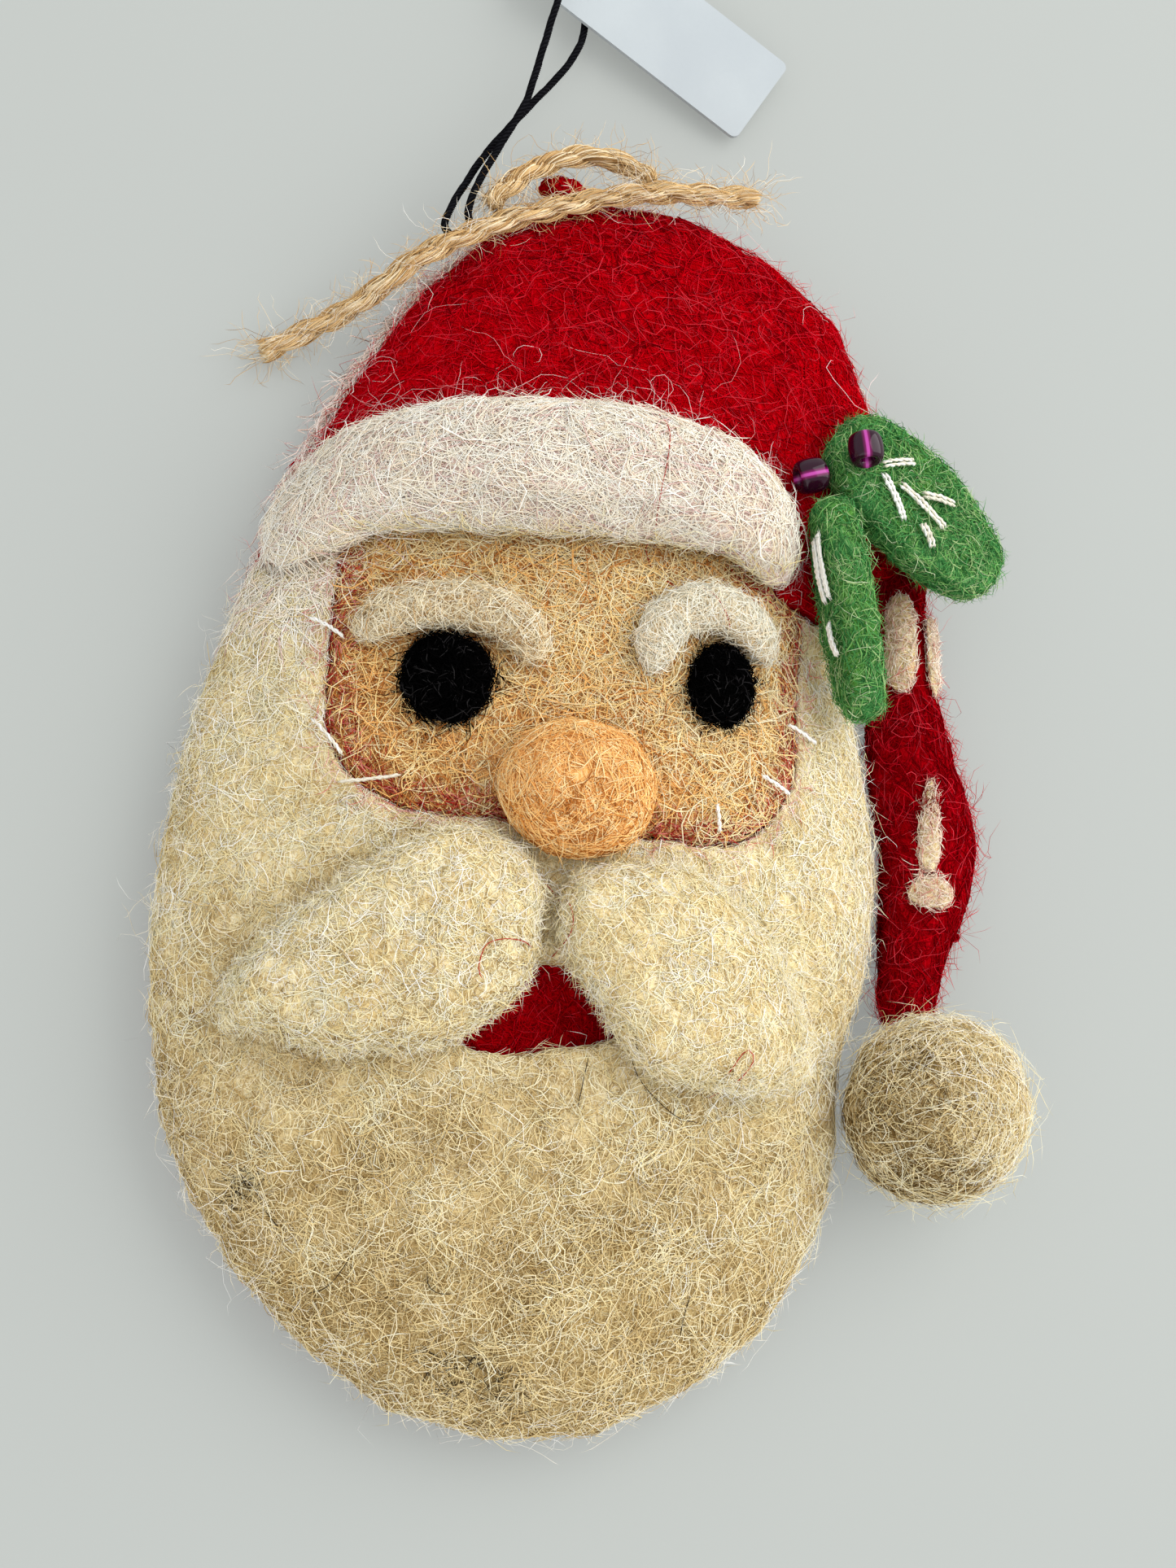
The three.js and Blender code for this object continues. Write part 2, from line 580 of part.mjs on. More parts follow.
function hatTail() {
  const turns = END_TURNS.map((degrees) => THREE.MathUtils.degToRad(degrees));
  const root = turns.map((turn) => tailSection(0, -TAIL_ROOT_RADIUS * Math.sin(turn), Math.cos(turn)));
  const tip = turns.map((turn) => tailSection(1, TAIL_TIP_RADIUS * Math.sin(turn), Math.cos(turn)));
  const body = Array.from({ length: TAIL_STEPS + 1 }, (_, k) => tailSection(k / TAIL_STEPS, 0, 1));
  const end = (along, beyond) => {
    const at = tailCurve.getPointAt(along);
    const way = tailCurve.getTangentAt(along);
    return new THREE.Vector3(at.x + beyond * way.x, at.y + beyond * way.y, TAIL_HEIGHT);
  };
  const rings = [...root, ...body, ...tip.reverse()];
  return ringSolid(rings, end(0, -TAIL_ROOT_RADIUS), end(1, TAIL_TIP_RADIUS));
}

// Height of the tail's upper side, for the marks felted on it
function tailTop(x, y) {
  let best = { distance: Infinity };
  for (let k = 0; k <= TAIL_PROBES; k += 1) {
    const along = k / TAIL_PROBES;
    const at = tailCurve.getPointAt(along);
    const distance = Math.hypot(x - at.x, y - at.y);
    if (distance < best.distance) {
      best = { distance, along };
    }
  }
  const { width, height } = tailHalf(best.along);
  const share = Math.min(MARK_LIMIT, best.distance / width);
  return TAIL_HEIGHT + height * Math.sqrt(1 - share ** 2);
}

const onTail = (x, y) => tailTop(x, y) + GAP;

function tailMark(spine, halfWidth) {
  const size = { halfWidth, thick: MARK_THICK, stations: MARK_STATIONS };
  return drapedRoll({ ...size, blunt: MARK_BLUNT, spine, floor: onTail });
}

function tailKnob() {
  const size = { centre: TAIL_KNOB, radius: TAIL_KNOB_RADIUS, thick: MARK_THICK };
  return patch({ ...size, drop: MARK_DROP, floor: onTail });
}

// The pom-pom touches the tail's round tip and lies on the table
function pomCentre() {
  const { x, y } = tailPoints[tailPoints.length - 1];
  const z = TABLE_GAP + POM_RADIUS;
  const apart = POM_RADIUS + GAP + TAIL_TIP_RADIUS;
  const along = Math.sqrt(apart ** 2 - (z - TAIL_HEIGHT) ** 2);
  const heading = THREE.MathUtils.degToRad(POM_HEADING);
  return new THREE.Vector3(x + along * Math.cos(heading), y + along * Math.sin(heading), z);
}

// Leaf outline along +X from its base, blunt at both ends, fuller past the middle
function leafShape({ length, width }) {
  const half = width / 2;
  const at = ([along, out], side) => [along * length, side * out * half];
  const shape = new THREE.Shape();
  shape.moveTo(...at([0, LEAF_NECK], -1));
  shape.bezierCurveTo(...at(LEAF_RISE, -1), ...at(LEAF_BULGE, -1), ...at(LEAF_SHOULDER, -1));
  shape.bezierCurveTo(...at(LEAF_TIP, -1), ...at(LEAF_TIP, 1), ...at(LEAF_SHOULDER, 1));
  shape.bezierCurveTo(...at(LEAF_BULGE, 1), ...at(LEAF_RISE, 1), ...at([0, LEAF_NECK], 1));
  return shape;
}

function leafGeometry(leaf) {
  const geometry = new THREE.ExtrudeGeometry(leafShape(leaf), {
    depth: LEAF_FELT - 2 * LEAF_BEVEL,
    bevelThickness: LEAF_BEVEL,
    bevelSize: LEAF_BEVEL,
    bevelOffset: -LEAF_BEVEL,
    bevelSegments: LEAF_BEVEL_STEPS,
    curveSegments: LEAF_CURVE_STEPS,
  });
  return facingOut(geometry.translate(0, 0, LEAF_BEVEL));
}

// A leaf's group: turned, and lowered until it rests on the front of the head
function leafGroup(leaf) {
  const [heading, droop, roll] = [leaf.heading, leaf.droop, leaf.roll].map(THREE.MathUtils.degToRad);
  const group = new THREE.Group();
  group.rotation.set(roll, droop, heading, "ZYX");
  group.position.set(...leaf.base, 0);
  group.updateMatrix();
  const outline = leafShape(leaf).getPoints(LEAF_PROBES);
  let lift = -Infinity;
  for (const share of LEAF_PROBE_SHARES) {
    for (const level of [0, LEAF_FELT]) {
      for (const { x, y } of outline) {
        const middle = leaf.length / 2;
        const local = new THREE.Vector3(middle + share * (x - middle), share * y, level);
        const point = local.applyMatrix4(group.matrix);
        lift = Math.max(lift, onFront(point.x, point.y) - point.z);
      }
    }
  }
  group.position.z = lift;
  return group;
}

function circleShape(radius, sides) {
  return new THREE.Shape(Array.from({ length: sides }, (_, k) => {
    const angle = (2 * Math.PI * k) / sides;
    return new THREE.Vector2(radius * Math.cos(angle), radius * Math.sin(angle));
  }));
}

function tube(points, radius, sides, steps) {
  const extrudePath = new THREE.CatmullRomCurve3(points.map((point) => new THREE.Vector3(...point)));
  const settings = { extrudePath, steps, bevelEnabled: false };
  return facingOut(new THREE.ExtrudeGeometry(circleShape(radius, sides), settings));
}

// A vein is one straight stitch of thread on a leaf's upper face
function leafVein([[x0, y0], [x1, y1]]) {
  const z = LEAF_FELT + GAP + THREAD_RADIUS;
  return tube([[x0, y0, z], [x1, y1, z]], THREAD_RADIUS, THREAD_SIDES, VEIN_STEPS);
}

// A stitch of thread over the edge of the face opening
function faceStitch([[x0, y0], [x1, y1]]) {
  const points = Array.from({ length: STITCH_STEPS + 1 }, (_, k) => {
    const share = k / STITCH_STEPS;
    const [x, y] = [x0 + share * (x1 - x0), y0 + share * (y1 - y0)];
    return [x, y, onFront(x, y) + THREAD_RADIUS];
  });
  return tube(points, THREAD_RADIUS, THREAD_SIDES, STITCH_STEPS);
}

// Round glass bead with a bore along its own Y
function bead() {
  const middle = (BEAD_RADIUS + BEAD_BORE) / 2;
  const square = (value) => Math.sign(value) * Math.abs(value) ** BEAD_SQUARENESS;
  const profile = Array.from({ length: BEAD_PROFILE + 1 }, (_, k) => {
    const angle = (2 * Math.PI * (k % BEAD_PROFILE)) / BEAD_PROFILE;
    const x = middle + (BEAD_RADIUS - middle) * square(Math.cos(angle));
    return new THREE.Vector2(x, (BEAD_LENGTH / 2) * square(Math.sin(angle)));
  });
  return facingOut(new THREE.LatheGeometry(profile, BEAD_SIDES));
}

function upperBead() {
  const mesh = piece("upper_bead", bead(), PLUM_GLASS);
  mesh.position.set(...UPPER_BEAD_AT, LEAF_FELT + GAP + BEAD_RADIUS);
  mesh.rotation.z = THREE.MathUtils.degToRad(UPPER_BEAD_TURN);
  return mesh;
}

function lowerBead() {
  const mesh = piece("lower_bead", bead(), PLUM_GLASS);
  const [x, y] = LOWER_BEAD_AT;
  const reach = BEAD_RADIUS * BEAD_FOOT;
  const around = [[0, 0], [reach, 0], [-reach, 0], [0, reach], [0, -reach]];
  const floor = Math.max(...around.map(([dx, dy]) => onFront(x + dx, y + dy)));
  mesh.position.set(x, y, floor + BEAD_RADIUS);
  mesh.rotation.z = THREE.MathUtils.degToRad(90 + LOWER_BEAD_TURN);
  return mesh;
}

// Red felt tab that stands out of the seam at the hat's top
function hangerTab() {
  const size = { centre: TAB_CENTRE, radius: TAB_RADIUS, thick: TAB_THICK };
  return patch({ ...size, drop: TAB_DROP, floor: () => BACK_FELT + GAP });
}

// Blank card with a hole near its upper end, which the elastic passes through
function hangTag() {
  const half = TAG_WIDTH / 2;
  const start = -TAG_HOLE_INSET;
  const end = start + TAG_LENGTH;
  const shape = new THREE.Shape();
  shape.moveTo(start + TAG_CORNER, -half);
  shape.absarc(end - TAG_CORNER, -half + TAG_CORNER, TAG_CORNER, -Math.PI / 2, 0);
  shape.absarc(end - TAG_CORNER, half - TAG_CORNER, TAG_CORNER, 0, Math.PI / 2);
  shape.absarc(start + TAG_CORNER, half - TAG_CORNER, TAG_CORNER, Math.PI / 2, Math.PI);
  shape.absarc(start + TAG_CORNER, -half + TAG_CORNER, TAG_CORNER, Math.PI, 1.5 * Math.PI);
  const hole = new THREE.Path();
  hole.absarc(0, 0, TAG_HOLE_RADIUS, 0, 2 * Math.PI);
  shape.holes.push(hole);
  const card = { depth: TAG_CARD, bevelEnabled: false, curveSegments: TAG_CURVE_STEPS };
  const mesh = piece("hang_tag", facingOut(new THREE.ExtrudeGeometry(shape, card)), WHITE_CARD);
  const turn = [TAG_ROLL, TAG_DROOP, TAG_HEADING].map(THREE.MathUtils.degToRad);
  mesh.rotation.set(...turn, "ZYX");
  mesh.position.set(...TAG_HOLE_AT);
  return mesh;
}

function stitchedHead() {
  const head = new THREE.Group();
  head.add(
    piece("back_panel", backPanel(), RED_FELT),
    piece("wool_filling", filling(), WOOL_FILLING),
    piece("base_panel", basePanel(), RED_FELT),
    piece("hat_crown", hatCrown(), RED_FELT),
    piece("beard_panel", beardPanel(), CREAM_FELT),
    piece("face_panel", facePanel(), PEACH_FELT),
    piece("hat_brim", brim(), WHITE_FELT),
    piece("left_eyebrow", brow(LEFT_BROW), WHITE_FELT),
    piece("right_eyebrow", brow(RIGHT_BROW), WHITE_FELT),
    piece("left_eye", eye(LEFT_EYE, LEFT_EYE_RADIUS), BLACK_FELT),
    piece("right_eye", eye(RIGHT_EYE, RIGHT_EYE_RADIUS), BLACK_FELT),
    piece("nose", noseBall(), NOSE_WOOL),
    piece("left_moustache", moustache(LEFT_MOUSTACHE), CREAM_FELT),
    piece("right_moustache", moustache(RIGHT_MOUSTACHE), CREAM_FELT),
    piece("hanger_tab", hangerTab(), RED_FELT),
    lowerBead(),
  );
  FACE_STITCHES.forEach((ends, k) => {
    head.add(piece(`face_stitch_${k + 1}`, faceStitch(ends), WHITE_THREAD));
  });
  return head;
}

function tailWithPomPom() {
  const tail = new THREE.Group();
  const ball = new THREE.SphereGeometry(POM_RADIUS, ...POM_FACETS);
  const pomPom = piece("pom_pom", facingOut(ball), CREAM_FELT);
  pomPom.position.copy(pomCentre());
  tail.add(
    piece("hat_tail", hatTail(), RED_FELT),
    piece("tail_bar", tailMark(TAIL_BAR, TAIL_BAR_HALF), CREAM_FELT),
    piece("tail_knob", tailKnob(), CREAM_FELT),
    piece("tail_oval", tailMark(TAIL_OVAL, TAIL_OVAL_HALF), CREAM_FELT),
    piece("tail_stripe", tailMark(TAIL_STRIPE, TAIL_STRIPE_HALF), CREAM_FELT),
    pomPom,
  );
  return tail;
}

function hollySprig() {
  const holly = new THREE.Group();
  const right = leafGroup(RIGHT_LEAF);
  right.add(piece("right_leaf", leafGeometry(RIGHT_LEAF), GREEN_FELT), upperBead());
  RIGHT_VEINS.forEach((ends, k) => {
    right.add(piece(`right_leaf_vein_${k + 1}`, leafVein(ends), WHITE_THREAD));
  });
  const left = leafGroup(LEFT_LEAF);
  left.add(piece("left_leaf", leafGeometry(LEFT_LEAF), GREEN_FELT));
  LEFT_VEINS.forEach((ends, k) => {
    left.add(piece(`left_leaf_vein_${k + 1}`, leafVein(ends), WHITE_THREAD));
  });
  holly.add(right, left);
  return holly;
}

function twineAndTag() {
  const strings = new THREE.Group();
  strings.add(
    piece("tie_strand", tube(TIE_STRAND, TWINE_RADIUS, CORD_SIDES, TIE_STEPS), JUTE),
    piece("hanging_loop", tube(HANGING_LOOP, TWINE_RADIUS, CORD_SIDES, LOOP_STEPS), JUTE),
    piece("tag_elastic", tube(TAG_ELASTIC, ELASTIC_RADIUS, CORD_SIDES, ELASTIC_STEPS), BLACK_ELASTIC),
    hangTag(),
  );
  return strings;
}

const ornament = new THREE.Group();
ornament.name = "felt_ornament";
ornament.add(stitchedHead(), tailWithPomPom(), hollySprig(), twineAndTag());

export default ornament;
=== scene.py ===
"""Looks of a stuffed felt ornament lying on its back: needled felt, loose wool fibres, thread,
glass beads, jute twine, a thin elastic and a blank card tag."""

import json
import math
from contextlib import contextmanager
from functools import partial

import bmesh
import bpy
import numpy as np
from mathutils import Matrix, Vector
from mathutils.bvhtree import BVHTree

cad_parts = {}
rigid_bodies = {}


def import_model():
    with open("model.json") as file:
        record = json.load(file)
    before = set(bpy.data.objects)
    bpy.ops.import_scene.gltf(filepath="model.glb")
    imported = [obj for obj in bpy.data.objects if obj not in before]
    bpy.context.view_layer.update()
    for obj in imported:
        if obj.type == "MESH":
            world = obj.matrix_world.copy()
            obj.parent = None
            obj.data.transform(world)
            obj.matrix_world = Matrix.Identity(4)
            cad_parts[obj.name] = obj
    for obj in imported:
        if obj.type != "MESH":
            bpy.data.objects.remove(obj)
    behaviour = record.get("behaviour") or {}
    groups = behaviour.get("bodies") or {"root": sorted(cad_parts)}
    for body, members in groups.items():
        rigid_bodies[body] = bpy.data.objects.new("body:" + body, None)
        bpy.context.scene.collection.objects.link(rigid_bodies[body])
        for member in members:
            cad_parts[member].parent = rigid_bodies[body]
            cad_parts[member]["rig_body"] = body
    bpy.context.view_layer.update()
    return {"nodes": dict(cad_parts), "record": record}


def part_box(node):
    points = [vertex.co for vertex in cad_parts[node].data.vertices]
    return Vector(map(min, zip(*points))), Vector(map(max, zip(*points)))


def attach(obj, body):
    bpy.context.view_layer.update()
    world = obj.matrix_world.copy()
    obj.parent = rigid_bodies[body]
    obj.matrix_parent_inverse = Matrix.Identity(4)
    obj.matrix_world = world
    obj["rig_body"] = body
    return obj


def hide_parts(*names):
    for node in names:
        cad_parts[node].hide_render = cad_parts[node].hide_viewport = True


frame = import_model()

NODES = frame["nodes"]
MM = 0.001
TURN = 2 * math.pi

# Camera, as the photograph was taken
IMAGE_HEIGHT = 1927
PIXELS_PER_MM = 13
SENSOR = 36
CAMERA_DISTANCE = 240 * MM
CAMERA_TARGET = Vector((2.5, 3, 8)) * MM
CAMERA_ELEVATION = math.radians(72)
CAMERA_AZIMUTH = math.radians(-35)
CAMERA_LEAN = math.radians(4)
NEAREST_SEEN = 10 * MM

# Light: a large soft window from the right, a fainter one from below, and an even room
WINDOW_AT = Vector((510, 250, 430)) * MM
WINDOW_SIZE = 0.9
WINDOW_POWER = 5.7
LOW_WINDOW_AT = Vector((-160, -560, 260)) * MM
LOW_WINDOW_SIZE = 0.7
LOW_WINDOW_POWER = 1.2
ROOM_LIGHT = 0.91
ROOM_COLOUR = (250, 251, 255)

# A pale table, whose shadows are kept light where it is seen
FLOOR_REACH = 3.0
TABLE_COLOUR = (170, 174, 169)
TABLE_GLOW_COLOUR = (208, 212, 208)
TABLE_GLOW = 0.4

# Stuffing by cloth pressure, worked out on a model ten times as large
SIM_SCALE = 10
SIM_FRAMES = 20
SIM_PRESSURE = 4
LEAST_MOVE = 1e-9

# Twine and elastic
TIE_STRAND = [
    (-32.2, 44.4, 1.9), (-30.6, 45.3, 2), (-29, 46.3, 2.4), (-27.2, 47.4, 3), (-25.3, 48.4, 3.9),
    (-23.3, 49.7, 5.1), (-21.4, 51.1, 6.5), (-19.4, 52.8, 7.8), (-17.6, 54.2, 8.6), (-14.6, 56.2, 9),
    (-11.6, 58, 9), (-8.1, 59.8, 9.1), (-4.4, 61.4, 9.1), (-0.8, 62.9, 9), (2.9, 64.1, 8.9),
    (6.3, 64.9, 8.9), (9.4, 65.3, 8.7), (12.6, 65.8, 8.3), (15.9, 66.3, 8),
]
HANGING_LOOP = [
    (-11.4, 60.6, 8.4), (-11, 61.7, 8.1), (-10.1, 63, 7.7), (-8.9, 64.5, 7.3), (-7.4, 66, 6.8),
    (-5.6, 67.4, 6.4), (-3.6, 68.5, 6.1), (-1.5, 69.1, 6), (0.4, 69.2, 6), (2.2, 68.7, 6.2),
    (3.4, 68, 6.6), (4, 67.2, 7.2),
]
LOOP_TUCK = [(4.3, 66.5, 7.7), (4.4, 65.8, 8.1)]
TAG_ELASTIC = [
    (-15.9, 57.5, 9.2), (-15.2, 60.2, 8.3), (-13.9, 63.4, 7.3), (-12.4, 66.8, 6.3), (-10.5, 70.2, 5.4),
    (-8.5, 73.4, 4.6), (-6.6, 76.4, 3.9), (-4.7, 79.4, 3.2), (-3.2, 82.4, 2.6), (-2.4, 85.4, 2.2),
    (-2.6, 88.4, 2), (-3.3, 91, 2.3), (-4, 92.5, 3.6), (-4.6, 92.3, 5.2), (-5, 90.6, 5.9),
    (-5.6, 88, 6), (-6.3, 84.6, 6), (-7, 81, 6.1), (-7.7, 77.4, 6.3), (-8.6, 73.4, 6.9),
    (-10.3, 69.2, 7.4), (-11.9, 65.4, 7.9), (-13.1, 62.2, 8.5), (-13.7, 59.2, 9.2),
]
ELASTIC_TUCKS = [(-14.6, 55.9, 8.6), (-15.3, 56.6, 9)], [(-13.4, 58.2, 9), (-12.9, 57.3, 8.6)]


def colour(red, green, blue):
    """A colour from its screen values of 0 to 255."""
    shares = [value / 255 for value in (red, green, blue)]
    return [s / 12.92 if s <= 0.04045 else ((s + 0.055) / 1.055) ** 2.4 for s in shares] + [1]


def link(name, data):
    made = bpy.data.objects.new(name, data)
    bpy.context.scene.collection.objects.link(made)
    return made


# Camera and light

def make_camera():
    elevation, azimuth = CAMERA_ELEVATION, CAMERA_AZIMUTH
    across = math.cos(elevation)
    back = Vector((math.sin(azimuth) * across, -math.cos(azimuth) * across, math.sin(elevation)))
    flat = (Vector((0, 1, 0)) - back * back.y).normalized()
    side = flat.cross(back)
    up = math.cos(CAMERA_LEAN) * flat - math.sin(CAMERA_LEAN) * side
    data = bpy.data.cameras.new("photo_view")
    data.sensor_width = SENSOR
    data.lens = SENSOR * PIXELS_PER_MM * CAMERA_DISTANCE / MM / IMAGE_HEIGHT
    data.clip_start = NEAREST_SEEN
    camera = link("photo_view", data)
    camera.matrix_world = Matrix((up.cross(back), up, back)).transposed().to_4x4()
    camera.location = CAMERA_TARGET + CAMERA_DISTANCE * back
    bpy.context.scene.camera = camera


def make_window(name, place, size, power):
    data = bpy.data.lights.new(name, "AREA")
    data.size = size
    data.energy = power
    window = link(name, data)
    window.location = place
    window.rotation_mode = "QUATERNION"
    window.rotation_quaternion = (place - CAMERA_TARGET).to_track_quat("Z", "Y")


def make_light():
    make_window("window", WINDOW_AT, WINDOW_SIZE, WINDOW_POWER)
    make_window("low_window", LOW_WINDOW_AT, LOW_WINDOW_SIZE, LOW_WINDOW_POWER)
    world = bpy.data.worlds.new("room")
    world.use_nodes = True
    room = world.node_tree.nodes["Background"]
    room.inputs["Color"].default_value = colour(*ROOM_COLOUR)
    room.inputs["Strength"].default_value = ROOM_LIGHT
    bpy.context.scene.world = world
    bpy.context.scene.view_settings.view_transform = "Standard"


# Shader maths

class Value:
    """A socket of a material's nodes that takes part in Python expressions."""

    def __init__(self, paint, socket):
        self.paint = paint
        self.socket = socket

    def math(self, operation, first, second=0.0):
        return self.paint.node("Math", {"operation": operation}, {0: first, 1: second})

    def __add__(self, other):
        return self.math("ADD", self, other)

    def __radd__(self, other):
        return self.math("ADD", other, self)

    def __sub__(self, other):
        return self.math("SUBTRACT", self, other)

    def __rsub__(self, other):
        return self.math("SUBTRACT", other, self)

    def __mul__(self, other):
        return self.math("MULTIPLY", self, other)

    def __rmul__(self, other):
        return self.math("MULTIPLY", other, self)

    def __abs__(self):
        return self.math("ABSOLUTE", self)

    def most(self, other):
        return self.math("MAXIMUM", self, other)


class Paint:
    """A material: its nodes, and constants set on its shader's own sockets."""

    def __init__(self, name, **constants):
        self.material = bpy.data.materials.new(name)
        self.material.use_nodes = True
        self.tree = self.material.node_tree
        self.shader = self.tree.nodes["Principled BSDF"]
        for socket, value in constants.items():
            self.shader.inputs[socket.replace("_", " ")].default_value = value

    def feed(self, socket, value):
        if isinstance(value, Value):
            self.tree.links.new(value.socket, socket)
        else:
            socket.default_value = value

    def node(self, kind, settings, sockets, out=0):
        made = self.tree.nodes.new("ShaderNode" + kind)
        for name, value in settings.items():
            setattr(made, name, value)
        for name, value in sockets.items():
            self.feed(made.inputs[name], value)
        return Value(self, made.outputs[out])

    def place(self):
        return self.node("TexCoord", {}, {}, "Object")

    def noise(self, place, size, detail=2.0, out="Fac"):
        sockets = {"Vector": place, "Scale": 1 / size, "Detail": detail}
        return self.node("TexNoise", {}, sockets, out)

    def between(self, value, low, high):
        """Zero below low and one above high, with a smooth rise between them."""
        settings = {"interpolation_type": "SMOOTHSTEP"}
        return self.node("MapRange", settings, {"Value": value, "From Min": low, "From Max": high})

    def mix(self, share, first, second):
        settings = {"data_type": "RGBA"}
        return self.node("Mix", settings, {"Factor": share, 6: first, 7: second}, 2)

    def shifted(self, place, size, reach):
        """The place, pushed about by noise so that straight patterns wander."""
        push = self.noise(place, size, 1.0, "Color")
        scaled = {0: push, 1: (reach,) * 3, 2: place}
        return self.node("VectorMath", {"operation": "MULTIPLY_ADD"}, scaled)

    def strands(self, place, angle, long, wide, width):
        """Thin wandering lines that run at an angle across the front."""
        sockets = {"Vector": place, "Rotation": (*STRAND_TILT, angle), "Scale": (long, wide, 2 * wide)}
        turned = self.node("Mapping", {"vector_type": "TEXTURE"}, sockets)
        field = self.noise(turned, 1.0, 1.0)
        return self.between(abs(field - 0.5), width, STRAND_CORE * width)

    def finish(self, base, relief=None, strength=0.4, depth=0.2 * MM):
        self.feed(self.shader.inputs["Base Color"], base)
        if relief is not None:
            sockets = {"Height": relief, "Strength": strength, "Distance": depth}
            self.feed(self.shader.inputs["Normal"], self.node("Bump", {}, sockets))
        return self.material


# Felt: wandering strands that cross, over patches of two tones
STRAND_ANGLES = (0.35, 1.4, 2.5)
STRAND_SIZES = (6 * MM, 0.5 * MM, 0.07)
FINE_STRAND_ANGLE = 1.9
FINE_STRAND_SIZES = (4 * MM, 0.3 * MM, 0.05)
STRAND_TILT = (0.4, 0.3)
STRAND_CORE = 0.2
STRAND_WANDER = (3 * MM, 1.6 * MM)
FELT_PATCH = 7 * MM
PATCH_EDGES = (0.42, 0.62)
LEAST_WOOL = 0.35
FINE_SHARE = 0.7
FINE_RELIEF = 0.5
# Where the beard's foot tones take over, the size of their patches and how far their edge wanders; they are
# partly the wool's own browner tone, partly painted shade
FOOT_EDGES = (-8 * MM, -46 * MM)
FOOT_PATCH = 9 * MM
FOOT_WANDER = 44 * MM


def felt(name, tones, foot_brown_and_shade):
    """Needled wool felt: crossing strands over a darker ground, which is painted shade in the depth between
    them, in patches of two tones.
    Felt with foot tones turns to them towards its foot: partly its own browner wool, partly painted shade."""
    paint = Paint(name, Roughness=0.95, Specular_IOR_Level=0.0)
    place = paint.place()
    tones = [colour(*tone) for tone in tones]
    # Browner and darker towards the foot: partly the wool's own tone, partly painted shade
    if foot_brown_and_shade:
        height = paint.node("SeparateXYZ", {}, {0: place}, "Y")
        wander = FOOT_WANDER * (paint.noise(place, FOOT_PATCH, 3.0) - 0.5)
        foot_share = paint.between(height + wander, *FOOT_EDGES)
        tones = [paint.mix(foot_share, top_tone, colour(*foot_tone)) for top_tone, foot_tone in zip(tones, foot_brown_and_shade)]
    deep, main, patch, light = tones
    wandering = paint.shifted(place, *STRAND_WANDER)
    lines = paint.strands(wandering, STRAND_ANGLES[0], *STRAND_SIZES)
    for angle in STRAND_ANGLES[1:]:
        lines = lines.most(paint.strands(wandering, angle, *STRAND_SIZES))
    fine = paint.strands(wandering, FINE_STRAND_ANGLE, *FINE_STRAND_SIZES)
    mottle = paint.between(paint.noise(place, FELT_PATCH, 3.0), *PATCH_EDGES)
    wool = paint.mix(mottle, main, patch)
    # The darker ground between the strands is painted shade in the felt's depth
    ground = paint.mix(LEAST_WOOL + (1 - LEAST_WOOL) * lines, deep, wool)
    shown = paint.mix(FINE_SHARE * fine, ground, light)
    return paint.finish(shown, lines + FINE_RELIEF * fine)


def fibre(name, tone):
    """One loose wool fibre's colour."""
    return Paint(name, Base_Color=tone, Roughness=0.8, Specular_IOR_Level=0.0).material


def fibres_of(name, tones):
    return [fibre(f"{name}_{k + 1}", colour(*tone)) for k, tone in enumerate(tones)]


# Each felt's ground, painted shade between the strands, then its main wool, patches and light strands
FELT_TONES = {
    "red_felt": [(98, 0, 4), (182, 0, 10), (156, 0, 7), (200, 6, 22)],
    # The tail's darker red: partly its own tone, partly painted shade from the head and leaves over it
    "tail_felt": [(80, 0, 3), (150, 0, 8), (126, 0, 5), (176, 6, 20)],
    "cream_felt": [(176, 142, 88), (244, 227, 178), (228, 204, 146), (254, 247, 218)],
    "beard_felt": [(176, 142, 88), (244, 227, 178), (228, 204, 146), (254, 247, 218)],
    "oat_felt": [(108, 86, 46), (190, 166, 114), (160, 136, 86), (240, 224, 178)],
    "white_felt": [(172, 140, 130), (222, 200, 186), (202, 170, 164), (255, 250, 240)],
    "brow_felt": [(170, 130, 78), (250, 232, 192), (226, 196, 144), (255, 250, 230)],
    "peach_felt": [(130, 78, 34), (238, 184, 112), (204, 140, 76), (255, 226, 168)],
    "nose_wool": [(216, 142, 66), (252, 200, 126), (244, 182, 104), (255, 222, 162)],
    "black_felt": [(2, 2, 2), (5, 4, 4), (3, 3, 3), (14, 13, 13)],
    "green_felt": [(26, 64, 28), (68, 134, 72), (84, 140, 58), (140, 184, 116)],
    "wool_filling": [(214, 186, 150), (248, 238, 214), (242, 222, 196), (254, 250, 240)],
}
# The beard's tones at its foot: partly its own browner wool, partly painted shade
FOOT_BROWN_AND_SHADE = {"beard_felt": [(118, 94, 52), (188, 162, 108), (150, 124, 76), (234, 214, 162)]}

